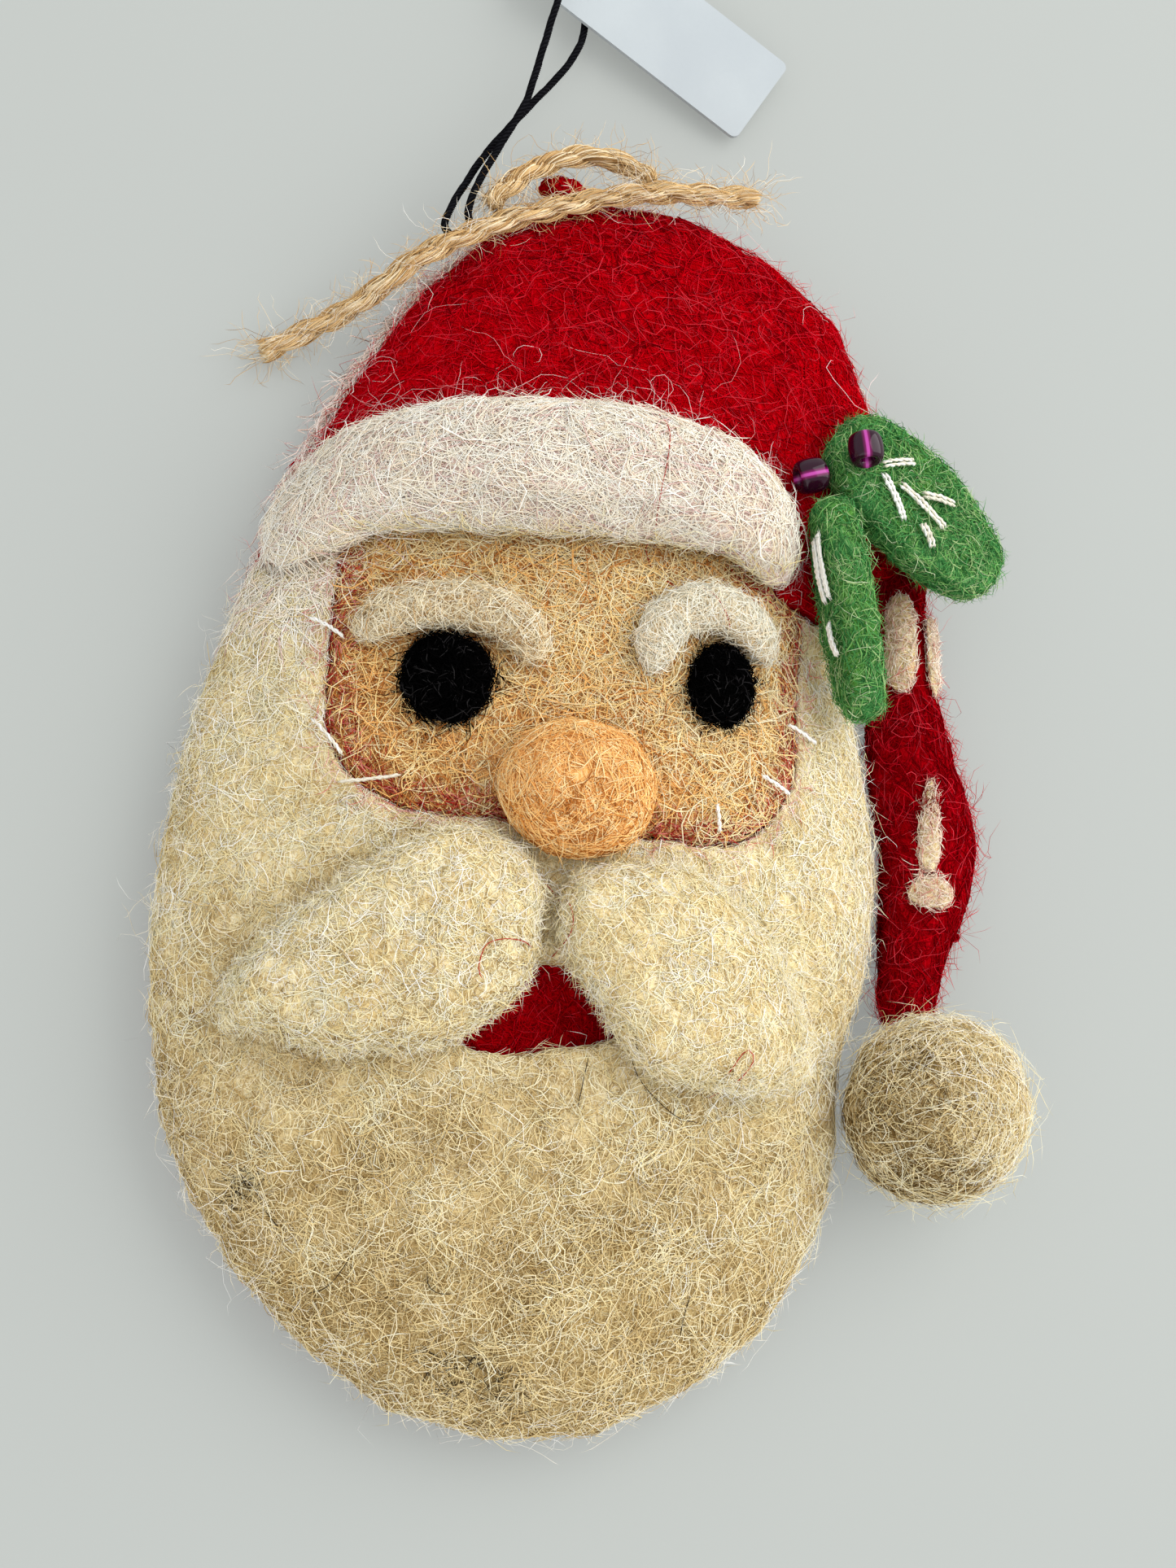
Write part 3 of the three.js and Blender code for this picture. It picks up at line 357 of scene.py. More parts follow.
# Loose fibres' tones, the commonest first
FIBRE_TONES = {
    "red_felt": [(184, 0, 12), (202, 4, 22), (160, 0, 8), (204, 34, 46)],
    # The tail's darker red: partly its own tone, partly painted shade from the head and leaves over it
    "tail_felt": [(134, 0, 8), (154, 4, 16), (108, 0, 5), (168, 36, 46)],
    "cream_felt": [(255, 244, 202), (255, 251, 224), (250, 233, 178), (226, 200, 140)],
    "pale_fuzz": [(255, 249, 232), (255, 254, 246), (252, 241, 214)],
    "oat_felt": [(242, 222, 168), (252, 239, 202), (224, 198, 142), (190, 160, 104)],
    "brown_felt": [(190, 160, 104), (214, 188, 132), (160, 130, 80)],
    "white_felt": [(255, 247, 229), (255, 252, 241), (251, 233, 209), (224, 192, 182)],
    "peach_felt": [(255, 221, 150), (255, 238, 188), (252, 194, 116), (186, 116, 54)],
    "brow_wool": [(252, 240, 206), (255, 248, 226), (242, 218, 172), (196, 154, 98)],
    # A paler, lit copy of the brow wool for the right brow: painted light
    "bright_brow": [(255, 250, 228), (255, 253, 240), (252, 236, 204)],
    "strip_wool": [(255, 240, 226), (255, 248, 238), (252, 228, 212)],
    "peach_shade": [(196, 132, 68), (216, 158, 92), (168, 104, 50)],
    "shade_felt": [(122, 95, 52), (149, 119, 72), (101, 77, 42)],
    "pale_peach": [(255, 232, 178), (255, 244, 206)],
    "nose_shade": [(202, 128, 58), (172, 102, 44)],
    "nose_wool": [(254, 204, 130), (255, 226, 168), (246, 184, 108), (220, 146, 70)],
    "black_felt": [(5, 5, 5), (9, 8, 8), (3, 3, 3), (40, 38, 38)],
    "green_felt": [(84, 154, 84), (124, 182, 100), (52, 112, 58), (172, 202, 136)],
    "wool_filling": [(252, 244, 222), (255, 252, 242), (246, 230, 202), (236, 204, 190)],
    "jute_twine": [(230, 196, 140), (252, 233, 194), (204, 164, 110), (156, 118, 72)],
    "mark_wool": [(250, 232, 208), (255, 246, 230), (238, 206, 184), (214, 150, 136)],
    "pale_leaf": [(190, 214, 156), (214, 230, 184)],
    "white_thread": [(250, 248, 238), (254, 253, 247), (236, 228, 208)],
    "dark_hair": [(40, 34, 32), (24, 22, 24)],
    "red_hair": [(178, 16, 28), (132, 8, 16)],
    "rim_hair": [(190, 52, 48), (142, 24, 24), (232, 136, 126)],
    "hat_hair": [(212, 24, 42), (224, 64, 76), (190, 4, 18)],
    "pink_hair": [(250, 222, 216), (238, 168, 166), (224, 104, 108), (255, 246, 240)],
    "black_elastic": [(16, 16, 18), (28, 28, 31)],
}
TONE_SHARES = (0.4, 0.27, 0.22, 0.11)

FELTS = {name: felt(name, tones, FOOT_BROWN_AND_SHADE.get(name)) for name, tones in FELT_TONES.items()}
TONES = {name: fibres_of(f"{name}_fibre", tones) for name, tones in FIBRE_TONES.items()}


# Pieces from the solids

SOLID_MERGE = 0.002 * MM
FIBRE_MERGE = 1e-8


def mesh_of(source):
    """The mesh that an object's modifiers or curves make."""
    depsgraph = bpy.context.evaluated_depsgraph_get()
    return bpy.data.meshes.new_from_object(source.evaluated_get(depsgraph))


@contextmanager
def reshaped(mesh):
    """A mesh opened for bmesh operators, and closed with what they made of it."""
    shape = bmesh.new()
    shape.from_mesh(mesh)
    yield shape
    shape.to_mesh(mesh)
    shape.free()


def merge(mesh, reach):
    with reshaped(mesh) as shape:
        bmesh.ops.remove_doubles(shape, verts=shape.verts, dist=reach)


def apply_modifiers(piece):
    """Replaces a piece's mesh by what its modifiers make of it."""
    mesh = mesh_of(piece)
    piece.modifiers.clear()
    piece.data = mesh
    return piece


def copy_of(node, name):
    """A merged copy of a solid's mesh, as a piece of its own."""
    mesh = NODES[node].data.copy()
    mesh.materials.clear()
    merge(mesh, SOLID_MERGE)
    return link(name, mesh)


def places(piece):
    flat = np.empty(len(piece.data.vertices) * 3, np.float32)
    piece.data.vertices.foreach_get("co", flat)
    return flat.reshape(-1, 3).astype(float)


def move_to(piece, points):
    piece.data.vertices.foreach_set("co", points.astype(np.float32).ravel())
    piece.data.update()


def remesh(piece, voxel, smoothing):
    """Even small faces all over, with the facets smoothed away."""
    modifier = piece.modifiers.new("even", "REMESH")
    modifier.mode = "VOXEL"
    modifier.voxel_size = voxel
    soften = piece.modifiers.new("soften", "SMOOTH")
    soften.iterations = smoothing
    return apply_modifiers(piece)


def subdivide(piece, levels):
    modifier = piece.modifiers.new("finer", "SUBSURF")
    modifier.levels = modifier.render_levels = levels
    return apply_modifiers(piece)


def stuff(piece, cap):
    """Cloth pressure swells a stuffed piece, and no point moves further than the cap."""
    before = places(piece)
    piece.data.transform(Matrix.Scale(SIM_SCALE, 4))
    cloth = piece.modifiers.new("stuffing", "CLOTH").settings
    cloth.use_pressure = True
    cloth.uniform_pressure_force = SIM_PRESSURE
    cloth.effector_weights.gravity = 0
    for step in range(1, SIM_FRAMES + 1):
        bpy.context.scene.frame_set(step)
    apply_modifiers(piece)
    bpy.context.scene.frame_set(1)
    piece.data.transform(Matrix.Scale(1 / SIM_SCALE, 4))
    move = places(piece) - before
    reach = np.linalg.norm(move, axis=1, keepdims=True)
    move_to(piece, before + move * np.minimum(1, cap / np.maximum(reach, LEAST_MOVE)))
    return piece


def narrow_top(piece, share):
    """Narrows a mark towards its upper end, down to a share of its width."""
    points = places(piece)
    rise = np.interp(points[:, 1], (points[:, 1].min(), points[:, 1].max()), (0, 1))
    middle = points[:, 0].mean()
    points[:, 0] = middle + (points[:, 0] - middle) * (1 - (1 - share) * rise**2)
    move_to(piece, points)


def lumps(piece, size, height):
    """Soft unevenness of hand-needled wool."""
    texture = bpy.data.textures.new(f"{piece.name}_lumps", "CLOUDS")
    texture.noise_scale = size
    texture.noise_depth = 1
    modifier = piece.modifiers.new("lumps", "DISPLACE")
    modifier.texture = texture
    modifier.texture_coords = "LOCAL"
    modifier.strength = height
    modifier.mid_level = 0.5
    return apply_modifiers(piece)


def settle(piece, body):
    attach(piece, body)


def stand_for(piece, node):
    """A piece takes its node's place and body."""
    settle(piece, NODES[node]["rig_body"])
    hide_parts(node)


def finish(piece, material):
    """One material all over, on smooth faces."""
    piece.data.materials.clear()
    piece.data.materials.append(material)
    for face in piece.data.polygons:
        face.use_smooth = True
    return piece


def dress(piece, node, material):
    stand_for(finish(piece, material), node)
    return piece


def felt_piece(
    node, slot, voxel, *, look=None, smoothing=6, cap=0.0, finer=0, rough=((4 * MM, 0.5 * MM),),
):
    """A felted piece: even faces, swollen up to a cap, then finer, then rough with lumps of some sizes
    and heights."""
    piece = remesh(copy_of(node, f"{node}_felt"), voxel, smoothing)
    if cap:
        stuff(piece, cap)
    if finer:
        subdivide(piece, finer)
    for size, height in rough:
        lumps(piece, size, height)
    return dress(piece, node, FELTS[look or slot])


def layer_piece(node, slot, finer, rough):
    """A flat layer, whose solid only needs a finer surface."""
    piece = subdivide(copy_of(node, f"{node}_felt"), finer)
    lumps(piece, *rough)
    return dress(piece, node, FELTS[slot])


def make_head():
    head = {
        "back_panel": layer_piece("back_panel", "red_felt", 2, (5 * MM, 0.3 * MM)),
        "wool_filling": layer_piece("wool_filling", "wool_filling", 2, (3 * MM, 0.5 * MM)),
        "base_panel": layer_piece("base_panel", "red_felt", 1, (4 * MM, 0.2 * MM)),
    }
    deep = ((7 * MM, 0.9 * MM), (2.2 * MM, 0.35 * MM))
    even = ((6 * MM, 0.5 * MM), (1.8 * MM, 0.2 * MM))
    head["hat_crown"] = felt_piece("hat_crown", "red_felt", 0.5 * MM, rough=even)
    head["beard_panel"] = felt_piece("beard_panel", "cream_felt", 0.6 * MM, look="beard_felt", rough=deep)
    head["face_panel"] = felt_piece("face_panel", "peach_felt", 0.5 * MM, rough=even)
    return head


def make_features():
    plump = {"cap": 0.5 * MM, "finer": 1}
    tiny = {"voxel": 0.36 * MM, "smoothing": 3, "rough": ((1.5 * MM, 0.25 * MM),)}
    features = {
        "hat_brim": felt_piece("hat_brim", "white_felt", 0.8 * MM, **plump),
        "nose": felt_piece("nose", "nose_wool", 0.6 * MM, **plump, rough=((3 * MM, 0.3 * MM),)),
        "hanger_tab": felt_piece("hanger_tab", "red_felt", **tiny),
    }
    for side in ("left", "right"):
        node = f"{side}_moustache"
        rough = ((5 * MM, 0.6 * MM), (2 * MM, 0.25 * MM))
        features[node] = felt_piece(node, "cream_felt", 0.7 * MM, smoothing=3, cap=0.25 * MM, finer=1,
                                    rough=rough)
        node = f"{side}_eyebrow"
        features[node] = felt_piece(node, "white_felt", **tiny, look="brow_felt")
        node = f"{side}_eye"
        features[node] = felt_piece(node, "black_felt", **tiny)
    return features


BAR_TOP_SHARE = 0.4


def make_tail():
    plump = {"cap": 0.4 * MM, "finer": 1}
    tiny = {"voxel": 0.3 * MM, "smoothing": 3, "rough": ((1.5 * MM, 0.2 * MM),)}
    ball = {"look": "oat_felt", "rough": ((5 * MM, 0.5 * MM),)}
    tail = {
        "hat_tail": felt_piece("hat_tail", "red_felt", 0.8 * MM, **plump, look="tail_felt"),
        "pom_pom": felt_piece("pom_pom", "cream_felt", 0.8 * MM, **plump, **ball),
    }
    for mark in ("tail_bar", "tail_knob", "tail_oval", "tail_stripe"):
        tail[mark] = felt_piece(mark, "cream_felt", **tiny)
    narrow_top(tail["tail_bar"], BAR_TOP_SHARE)
    return tail


TAIL_PIVOT = Vector((33.4, 31, 4.1)) * MM
ROOT_CUT = 27.6 * MM
ROOT_FIT = 0.9
ROOT_REACH = 2.4


def make_tail_root():
    """Red felt from the hat's side into the tail's round root, which turns about it."""
    piece = copy_of("hat_tail", "tail_root_felt")
    with reshaped(piece.data) as shape:
        bmesh.ops.bisect_plane(
            shape, geom=[*shape.verts, *shape.edges, *shape.faces], plane_co=(0, ROOT_CUT, 0),
            plane_no=(0, 1, 0), clear_inner=True,
        )
        bmesh.ops.holes_fill(shape, edges=[edge for edge in shape.edges if edge.is_boundary])
        for vertex in shape.verts:
            offset = ROOT_FIT * (vertex.co - TAIL_PIVOT)
            if offset.x < 0:
                offset.x *= ROOT_REACH
            vertex.co = TAIL_PIVOT + offset
    remesh(piece, 0.5 * MM, smoothing=5)
    lumps(piece, 3 * MM, 0.3 * MM)
    settle(piece, "head")
    return finish(piece, FELTS["red_felt"])


def make_leaves():
    rough = ((5 * MM, 0.5 * MM), (1.6 * MM, 0.3 * MM))
    leaf = {"smoothing": 4, "finer": 1, "rough": rough}
    return {
        "right_leaf": felt_piece("right_leaf", "green_felt", 0.55 * MM, **leaf),
        "left_leaf": felt_piece("left_leaf", "green_felt", 0.55 * MM, **leaf),
    }


# Fibres

# A spot for a fibre is above the table and has nothing close over it
SPOT_RISE = 0.25 * MM
SPOT_COVER = 3 * MM
SPOT_FLOOR = 0.4 * MM
FROM_ABOVE = 0.1


class Ground:
    """The surfaces that fibres lie on: each felt piece's own, and all of them together."""

    def __init__(self, pieces):
        self.pieces = pieces
        self.trees = {node: self.tree_of([piece]) for node, piece in pieces.items()}
        self.all = self.tree_of(pieces.values())
        bodies = {piece["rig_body"] for piece in pieces.values()}
        self.bodies = {
            body: self.tree_of(piece for piece in pieces.values() if piece["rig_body"] == body)
            for body in bodies
        }

    def tree_of(self, pieces):
        corners, faces, count = [], [], 0
        for piece in pieces:
            points, triangles = self.triangles(piece)
            faces.append(triangles + count)
            corners.append(points)
            count += len(points)
        return BVHTree.FromPolygons(np.concatenate(corners).tolist(), np.concatenate(faces).tolist())

    @staticmethod
    def triangles(piece):
        mesh = piece.data
        mesh.calc_loop_triangles()
        flat = np.empty(len(mesh.loop_triangles) * 3, np.int32)
        mesh.loop_triangles.foreach_get("vertices", flat)
        return places(piece), flat.reshape(-1, 3)

    def open_spots(self, node, density, rng):
        """Random places on a piece, so many a square millimetre, with nothing close above them."""
        points, triangles = self.triangles(self.pieces[node])
        a, b, c = (points[triangles[:, k]] for k in range(3))
        normals = np.cross(b - a, c - a)
        twice = np.linalg.norm(normals, axis=1)
        count = int(density * twice.sum() / 2 / MM**2)
        picked = rng.choice(len(twice), count, p=twice / twice.sum())
        u, v = rng.random((2, count, 1))
        u, v = np.where(u + v > 1, 1 - u, u), np.where(u + v > 1, 1 - v, v)
        spots = a[picked] + u * (b - a)[picked] + v * (c - a)[picked]
        ways = normals[picked] / twice[picked][:, None]
        starts = spots + SPOT_RISE * ways
        free = [
            self.all.ray_cast(start, way, SPOT_COVER)[0] is None
            for start, way in zip(starts.tolist(), ways.tolist())
        ]
        keep = np.array(free) & (spots[:, 2] > SPOT_FLOOR)
        return spots[keep], ways[keep]

    def height(self, x, y):
        """The front's height at a place, seen from straight above."""
        hit = self.all.ray_cast((x, y, FROM_ABOVE), (0, 0, -1))[0]
        return hit.z if hit else 0.0


def unit(vectors):
    return vectors / np.maximum(np.linalg.norm(vectors, axis=-1, keepdims=True), 1e-12)


def across_surface(ways, normals):
    return unit(ways - normals * (ways * normals).sum(1, keepdims=True))


def creep(tree, at, ways, knots, step, turns):
    """Lines that creep over a surface, each turning as it goes: their points and normals."""
    line, tops = [], []
    for k in range(knots):
        found = [tree.find_nearest(place) for place in at.tolist()]
        at = np.array([hit[0] for hit in found])
        normals = np.array([hit[1] for hit in found])
        line.append(at)
        tops.append(normals)
        ways = across_surface(ways, normals)
        turn = turns[:, k : k + 1]
        ways = ways * np.cos(turn) + np.cross(normals, ways) * np.sin(turn)
        at = at + ways * step[:, None]
    return np.stack(line, axis=1), np.stack(tops, axis=1)


def fibre_section():
    """The three-sided section that every fibre is swept with."""
    section = bpy.data.curves.new("fibre_section", "CURVE")
    section.dimensions = "2D"
    corners = section.splines.new("POLY")
    corners.points.add(2)
    for k, point in enumerate(corners.points):
        point.co = (math.cos(TURN * k / 3), math.sin(TURN * k / 3), 0, 1)
    corners.use_cyclic_u = True
    return link("fibre_section", section)


SECTION = fibre_section()


def sweep(name, lines, radii, tones, materials):
    """Thin closed strands along lines, pointed where their radius is zero."""
    data = bpy.data.curves.new(name, "CURVE")
    data.dimensions = "3D"
    data.bevel_mode = "OBJECT"
    data.bevel_object = SECTION
    for material in materials:
        data.materials.append(material)
    for line, radius, tone in zip(lines, radii, tones):
        spline = data.splines.new("POLY")
        spline.points.add(len(line) - 1)
        spline.points.foreach_set("co", np.c_[line, np.ones(len(line))].ravel())
        spline.points.foreach_set("radius", radius)
        spline.material_index = int(tone)
    source = link(f"{name}_lines", data)
    mesh = mesh_of(source)
    bpy.data.objects.remove(source)
    merge(mesh, FIBRE_MERGE)
    return link(name, mesh)


def pick_tones(name, count, rng):
    shares = np.array(TONE_SHARES[: len(TONES[name])])
    return rng.choice(len(shares), count, p=shares / shares.sum())


MOST_TRIANGLES = 180000
TRIANGLES_A_STEP = 6
FIBRE_FLOOR = 0.06 * MM
FIBRE_WIDTHS = (0.6, 1.4)


def lay_fibres(name, lines, width, tones, body, rng):
    """Fibres of one kind along their lines, as pieces small enough to hand on."""
    count, knots = lines.shape[:2]
    lines[..., 2] = np.maximum(lines[..., 2], FIBRE_FLOOR)
    profile = np.ones(knots)
    profile[0] = profile[-1] = 0
    radii = width * MM * rng.uniform(*FIBRE_WIDTHS, (count, 1)) * profile
    shades = pick_tones(tones, count, rng)
    share = MOST_TRIANGLES // (TRIANGLES_A_STEP * (knots - 2))
    made = []
    for k, start in enumerate(range(0, count, share)):
        part = slice(start, start + share)
        piece = sweep(f"{name}_{k + 1}", lines[part], radii[part], shades[part], TONES[tones])
        settle(piece, body)
        made.append(piece)
    return made


# Shares of a fibre's own length, turn or lift
FIBRE_LENGTHS = (0.5, 1.5)
FIBRE_KINK = 0.6
LYING_LIFTS = (0.1, 0.8)
STANDING_LIFTS = (0.6, 2.2)
STANDING_BEND = 1.3
ROOT_SINK = 0.1

FADE_LEAN = 0.22
STEEP = 0.75
PATCH_WAVES = ((0.55, 0.31, 0.5), (-0.42, 0.66, 2.1), (0.23, -0.48, 4.0))
PATCH_REACH = 0.2
NODE_SLOTS = {part["node"]: part["material_slot"] for part in frame["record"]["subparts"]}
NODE_SLOTS["tail_root"] = "red_felt"


def patches(x, y):
    """Uneven patches over the front, above and below zero."""
    return PATCH_REACH * sum(np.sin(a * x + b * y + phase) for a, b, phase in PATCH_WAVES)


def chosen_spots(ground, node, density, rng, near, region, steep, fade, lean):
    """A piece's open spots that are near another piece, in a region, on steep sides or not faded out."""
    spots, tops = ground.open_spots(node, density, rng)
    keep = np.ones(len(spots), bool)
    x, y = spots[:, 0] / MM, spots[:, 1] / MM
    if near:
        tree, reach = ground.trees[near[0]], near[1] * MM
        keep &= [tree.find_nearest(spot, reach)[0] is not None for spot in spots.tolist()]
    if region:
        (low_x, high_x), (low_y, high_y) = region
        keep &= (x > low_x) & (x < high_x) & (y > low_y) & (y < high_y)
    if steep:
        keep &= tops[:, 2] < STEEP
    if fade:
        none, full = fade
        share = (y + lean * x - none) / (full - none)
        keep &= rng.random(len(spots)) < share + np.sign(full - none) * patches(x, y)
    return spots[keep], tops[keep]


def coat(
    ground, node, tones, density, length, lift, *, name="fibres", width=0.045, knots=4, flow=None,
    spread=0.5, curl=0.35, loose=0.12, over=False, near=None, region=None, steep=False, fade=None,
    lean=FADE_LEAN, seed=1,
):
    """Fibres over a piece's open surface: most lie along it, and a loose share stand off it. Those that
    run over its neighbours creep on its whole body. Lengths are in millimetres, the density in fibres
    a square millimetre."""
    rng = np.random.default_rng(seed)
    spots, tops = chosen_spots(ground, node, density, rng, near, region, steep, fade, lean)
    count = len(spots)
    ways = flow(spots, rng) if flow else rng.normal(size=(count, 3))
    ways = across_surface(ways, tops)
    angles = rng.normal(0, spread, (count, 1))
    ways = ways * np.cos(angles) + np.cross(tops, ways) * np.sin(angles)
    step = length * MM * rng.uniform(*FIBRE_LENGTHS, count) / (knots - 1)
    turns = rng.normal(0, curl, (count, 1)) + rng.normal(0, FIBRE_KINK * curl, (count, knots))
    body = ground.pieces[node]["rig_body"]
    tree = ground.bodies[body] if over else ground.trees[node]
    lines, normals = creep(tree, spots, ways, knots, step, turns)
    along = np.linspace(0, 1, knots)
    lying = np.sin(math.pi * along) * rng.uniform(*LYING_LIFTS, (count, 1))
    standing = along**STANDING_BEND * rng.uniform(*STANDING_LIFTS, (count, 1))
    rise = np.where(rng.random((count, 1)) < loose, standing, lying)
    rise[:, 0] = -ROOT_SINK
    lines = lines + normals * (rise * lift * MM)[..., None]
    return lay_fibres(f"{node}_{name}", lines, width, tones, body, rng)


# The ways in which fibres run

BRIM_CENTRE = np.array((-5, 5, 10)) * MM
TUFT_WAVES = ((450, 310, 2.2, 1.0), (-380, 520, 1.7, 2.2))
HANGING = (-0.05, -1.0, 0.0)


def middle_of(node):
    low, high = (np.array(corner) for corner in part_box(node))
    return (low + high) / 2


def circling(spots, middle):
    out = spots - middle
    return np.c_[-out[:, 1], out[:, 0], np.zeros(len(out))]


def tufts(spots, rng):
    """Ways that neighbours share, so that fibres lie in tufts."""
    x, y = spots[:, 0], spots[:, 1]
    angle = sum(reach * np.sin(a * x + b * y + phase) for a, b, reach, phase in TUFT_WAVES)
    return np.c_[np.cos(angle), np.sin(angle), np.zeros(len(x))]


def along_brim(spots, rng):
    return circling(spots, BRIM_CENTRE)


def off_brim(spots, rng):
    return (spots - BRIM_CENTRE) * (1, 1, 0)


def downwards(spots, rng):
    return np.tile(HANGING, (len(spots), 1))


def round_middle(node):
    """Ways that circle a piece's middle as seen from the front."""
    middle = middle_of(node)
    return lambda spots, rng: circling(spots, middle)


def out_of(node):
    """Ways from a piece's middle outwards."""
    middle = middle_of(node)
    return lambda spots, rng: spots - middle


def wound(node):
    """Ways of a ball of yarn: round a random axis through the middle."""
    middle = middle_of(node)
    return lambda spots, rng: np.cross(rng.normal(size=spots.shape), spots - middle)


# Coats: a piece, its fibres' tones, how many a square millimetre, their length and their lift

EDGE = {"name": "edge", "width": 0.022, "steep": True, "loose": 0.9}
FLYAWAYS = {"name": "flyaways", "width": 0.018, "knots": 8, "curl": 0.5, "loose": 1, "steep": True}
SMUDGES = ((-25.9, -37.5, 1.6), (-5.5, -52, 2.2), (-1.5, -53.5, 1.8))


def make_beard_coats(cover):
    wool = {"width": 0.038, "knots": 6, "flow": tufts, "spread": 1, "curl": 0.8, "loose": 0.2}
    # The cream coat gives way to oat and brown towards the foot, partly the wool's own browner tone and
    # partly painted shade; the pale coat towards the upper right is painted light
    cover("beard_panel", "cream_felt", 3, 5, 0.35, **wool, fade=(-52, -10), seed=11)
    cover("beard_panel", "oat_felt", 3.1, 5, 0.45, **wool, name="low", fade=(-10, -52), seed=9)
    cover("beard_panel", "brown_felt", 1.2, 4, 0.35, **wool, name="foot", fade=(-30, -70), seed=2)
    cover("beard_panel", "pale_fuzz", 1.8, 5, 0.5, **wool, name="light", fade=(-30, 18), seed=55)
    cover("beard_panel", "cream_felt", 0.25, 6, 1.0, name="fuzz", width=0.024, knots=6, curl=0.8, loose=0.6,
          seed=12)
    cover("beard_panel", "pale_fuzz", 1.3, 2.6, 0.9, **EDGE, seed=75)
    cover("beard_panel", "pale_fuzz", 0.1, 9, 2, **FLYAWAYS, seed=76)
    cover("beard_panel", "white_felt", 6, 6, 0.5, name="temple", width=0.044, knots=5, flow=along_brim,
          spread=0.6, over=True, near=("hat_brim", 5), region=((-40, -14), (0, 40)), seed=10)
    cover("beard_panel", "pink_hair", 6, 2.5, 0.5, name="face_edge", width=0.024, knots=5,
          near=("face_panel", 1.5), loose=0.4, seed=47)
    # Painted shade: darker oat fibres on the beard round the left moustache, under its wing
    cover("beard_panel", "oat_felt", 4, 4, 0.3, **wool, name="wing_shade", near=("left_moustache", 2.2),
          seed=84)
    for k, (x, y, reach) in enumerate(SMUDGES):
        region = ((x - reach, x + reach), (y - reach, y + reach))
        cover("beard_panel", "dark_hair", 2.5, 2.5, 0.4, name=f"smudge_{k + 1}", width=0.03, region=region,
              seed=51 + k)
    for k, node in enumerate(("left_moustache", "right_moustache")):
        cover(node, "cream_felt", 3.6, 4, 0.35, **wool, seed=21 + k)
        # Painted shade: darker fibres towards each moustache's low side. Painted light: paler fibres towards
        # its top
        cover(node, ("brown_felt", "oat_felt")[k], 1.5, 4, 0.4, **wool, name="low",
              fade=((-4, -24), (-8, -32))[k], lean=(-0.5, FADE_LEAN)[k], seed=70 + k)
        cover(node, "pale_fuzz", 2, 4, 0.5, **wool, name="light", fade=(-36, 8),
              lean=(-0.2, FADE_LEAN)[k], seed=56 + k)
        cover(node, "cream_felt", 7, 2, 0.7, name="halo", width=0.026, steep=True, loose=0.9, seed=23 + k)
        cover(node, "pale_fuzz", 3, 2, 0.8, **EDGE, seed=72 + k)


def make_hat_coats(cover):
    cover("hat_crown", "red_felt", 2.8, 4, 0.2, width=0.05, loose=0.06, seed=13)
    cover("hat_crown", "hat_hair", 0.45, 7, 0.7, name="curls", width=0.024, knots=7, curl=0.7, loose=0.4,
          seed=8)
    # Painted shade: the tail's darker tones towards the hat's top
    cover("hat_crown", "tail_felt", 1.2, 4, 0.3, name="top", width=0.05, fade=(34, 64), seed=79)
    cover("hat_crown", "hat_hair", 1.2, 2.4, 0.9, **EDGE, seed=77)
    cover("hat_crown", "pink_hair", 0.12, 8, 1.8, **FLYAWAYS, seed=78)
    cover("hat_crown", "pink_hair", 0.1, 8, 0.8, name="pale_curls", width=0.02, knots=9, curl=0.8,
          near=("hat_brim", 9), region=((-30, 12), (24, 60)), loose=0.3, seed=58)
    cover("hat_crown", "pink_hair", 2.4, 5, 0.6, name="fringe", width=0.022, knots=6, flow=off_brim,
          spread=1.4, curl=0.8, over=True, near=("hat_brim", 3), loose=0.3, seed=14)
    cover("hat_brim", "white_felt", 3.2, 8, 0.4, knots=6, width=0.055, flow=along_brim, spread=0.6,
          curl=0.4, seed=15)
    cover("hat_brim", "pale_fuzz", 1.2, 6, 0.8, name="fuzz", width=0.03, knots=6, flow=along_brim,
          spread=1.2, curl=0.6, loose=0.4, seed=16)
    cover("hat_brim", "cream_felt", 8, 4, 0.6, name="low", width=0.04, knots=5, flow=along_brim,
          near=("face_panel", 3), loose=0.3, seed=59)
    cover("hat_brim", "pale_fuzz", 3, 2.2, 0.5, **EDGE | {"loose": 0.6}, seed=48)
    cover("hat_brim", "white_felt", 6, 9, 0.6, name="sideburn", width=0.046, knots=7, flow=downwards,
          over=True, region=((-40, -20), (8, 30)), seed=7)
    cover("wool_filling", "strip_wool", 16, 6, 2, name="hat_side", width=0.06, knots=5, flow=along_brim,
          spread=0.3, loose=0.4, region=((-36, -6), (20, 62)), seed=60)
    cover("wool_filling", "pink_hair", 4, 4, 2, name="haze", width=0.02, knots=6, curl=0.6, loose=0.9,
          region=((-40, 6), (14, 70)), seed=3)
    cover("wool_filling", "wool_filling", 5, 4, 0.9, loose=0.6, seed=42)
    cover("hanger_tab", "red_felt", 6, 2, 0.3, seed=44)
    cover("back_panel", "red_felt", 1.1, 3.5, 0.5, width=0.06, loose=0.5, seed=41)
    cover("base_panel", "red_felt", 5, 3, 0.4, loose=0.3, region=((-16, 12), (-30, -12)), seed=43)


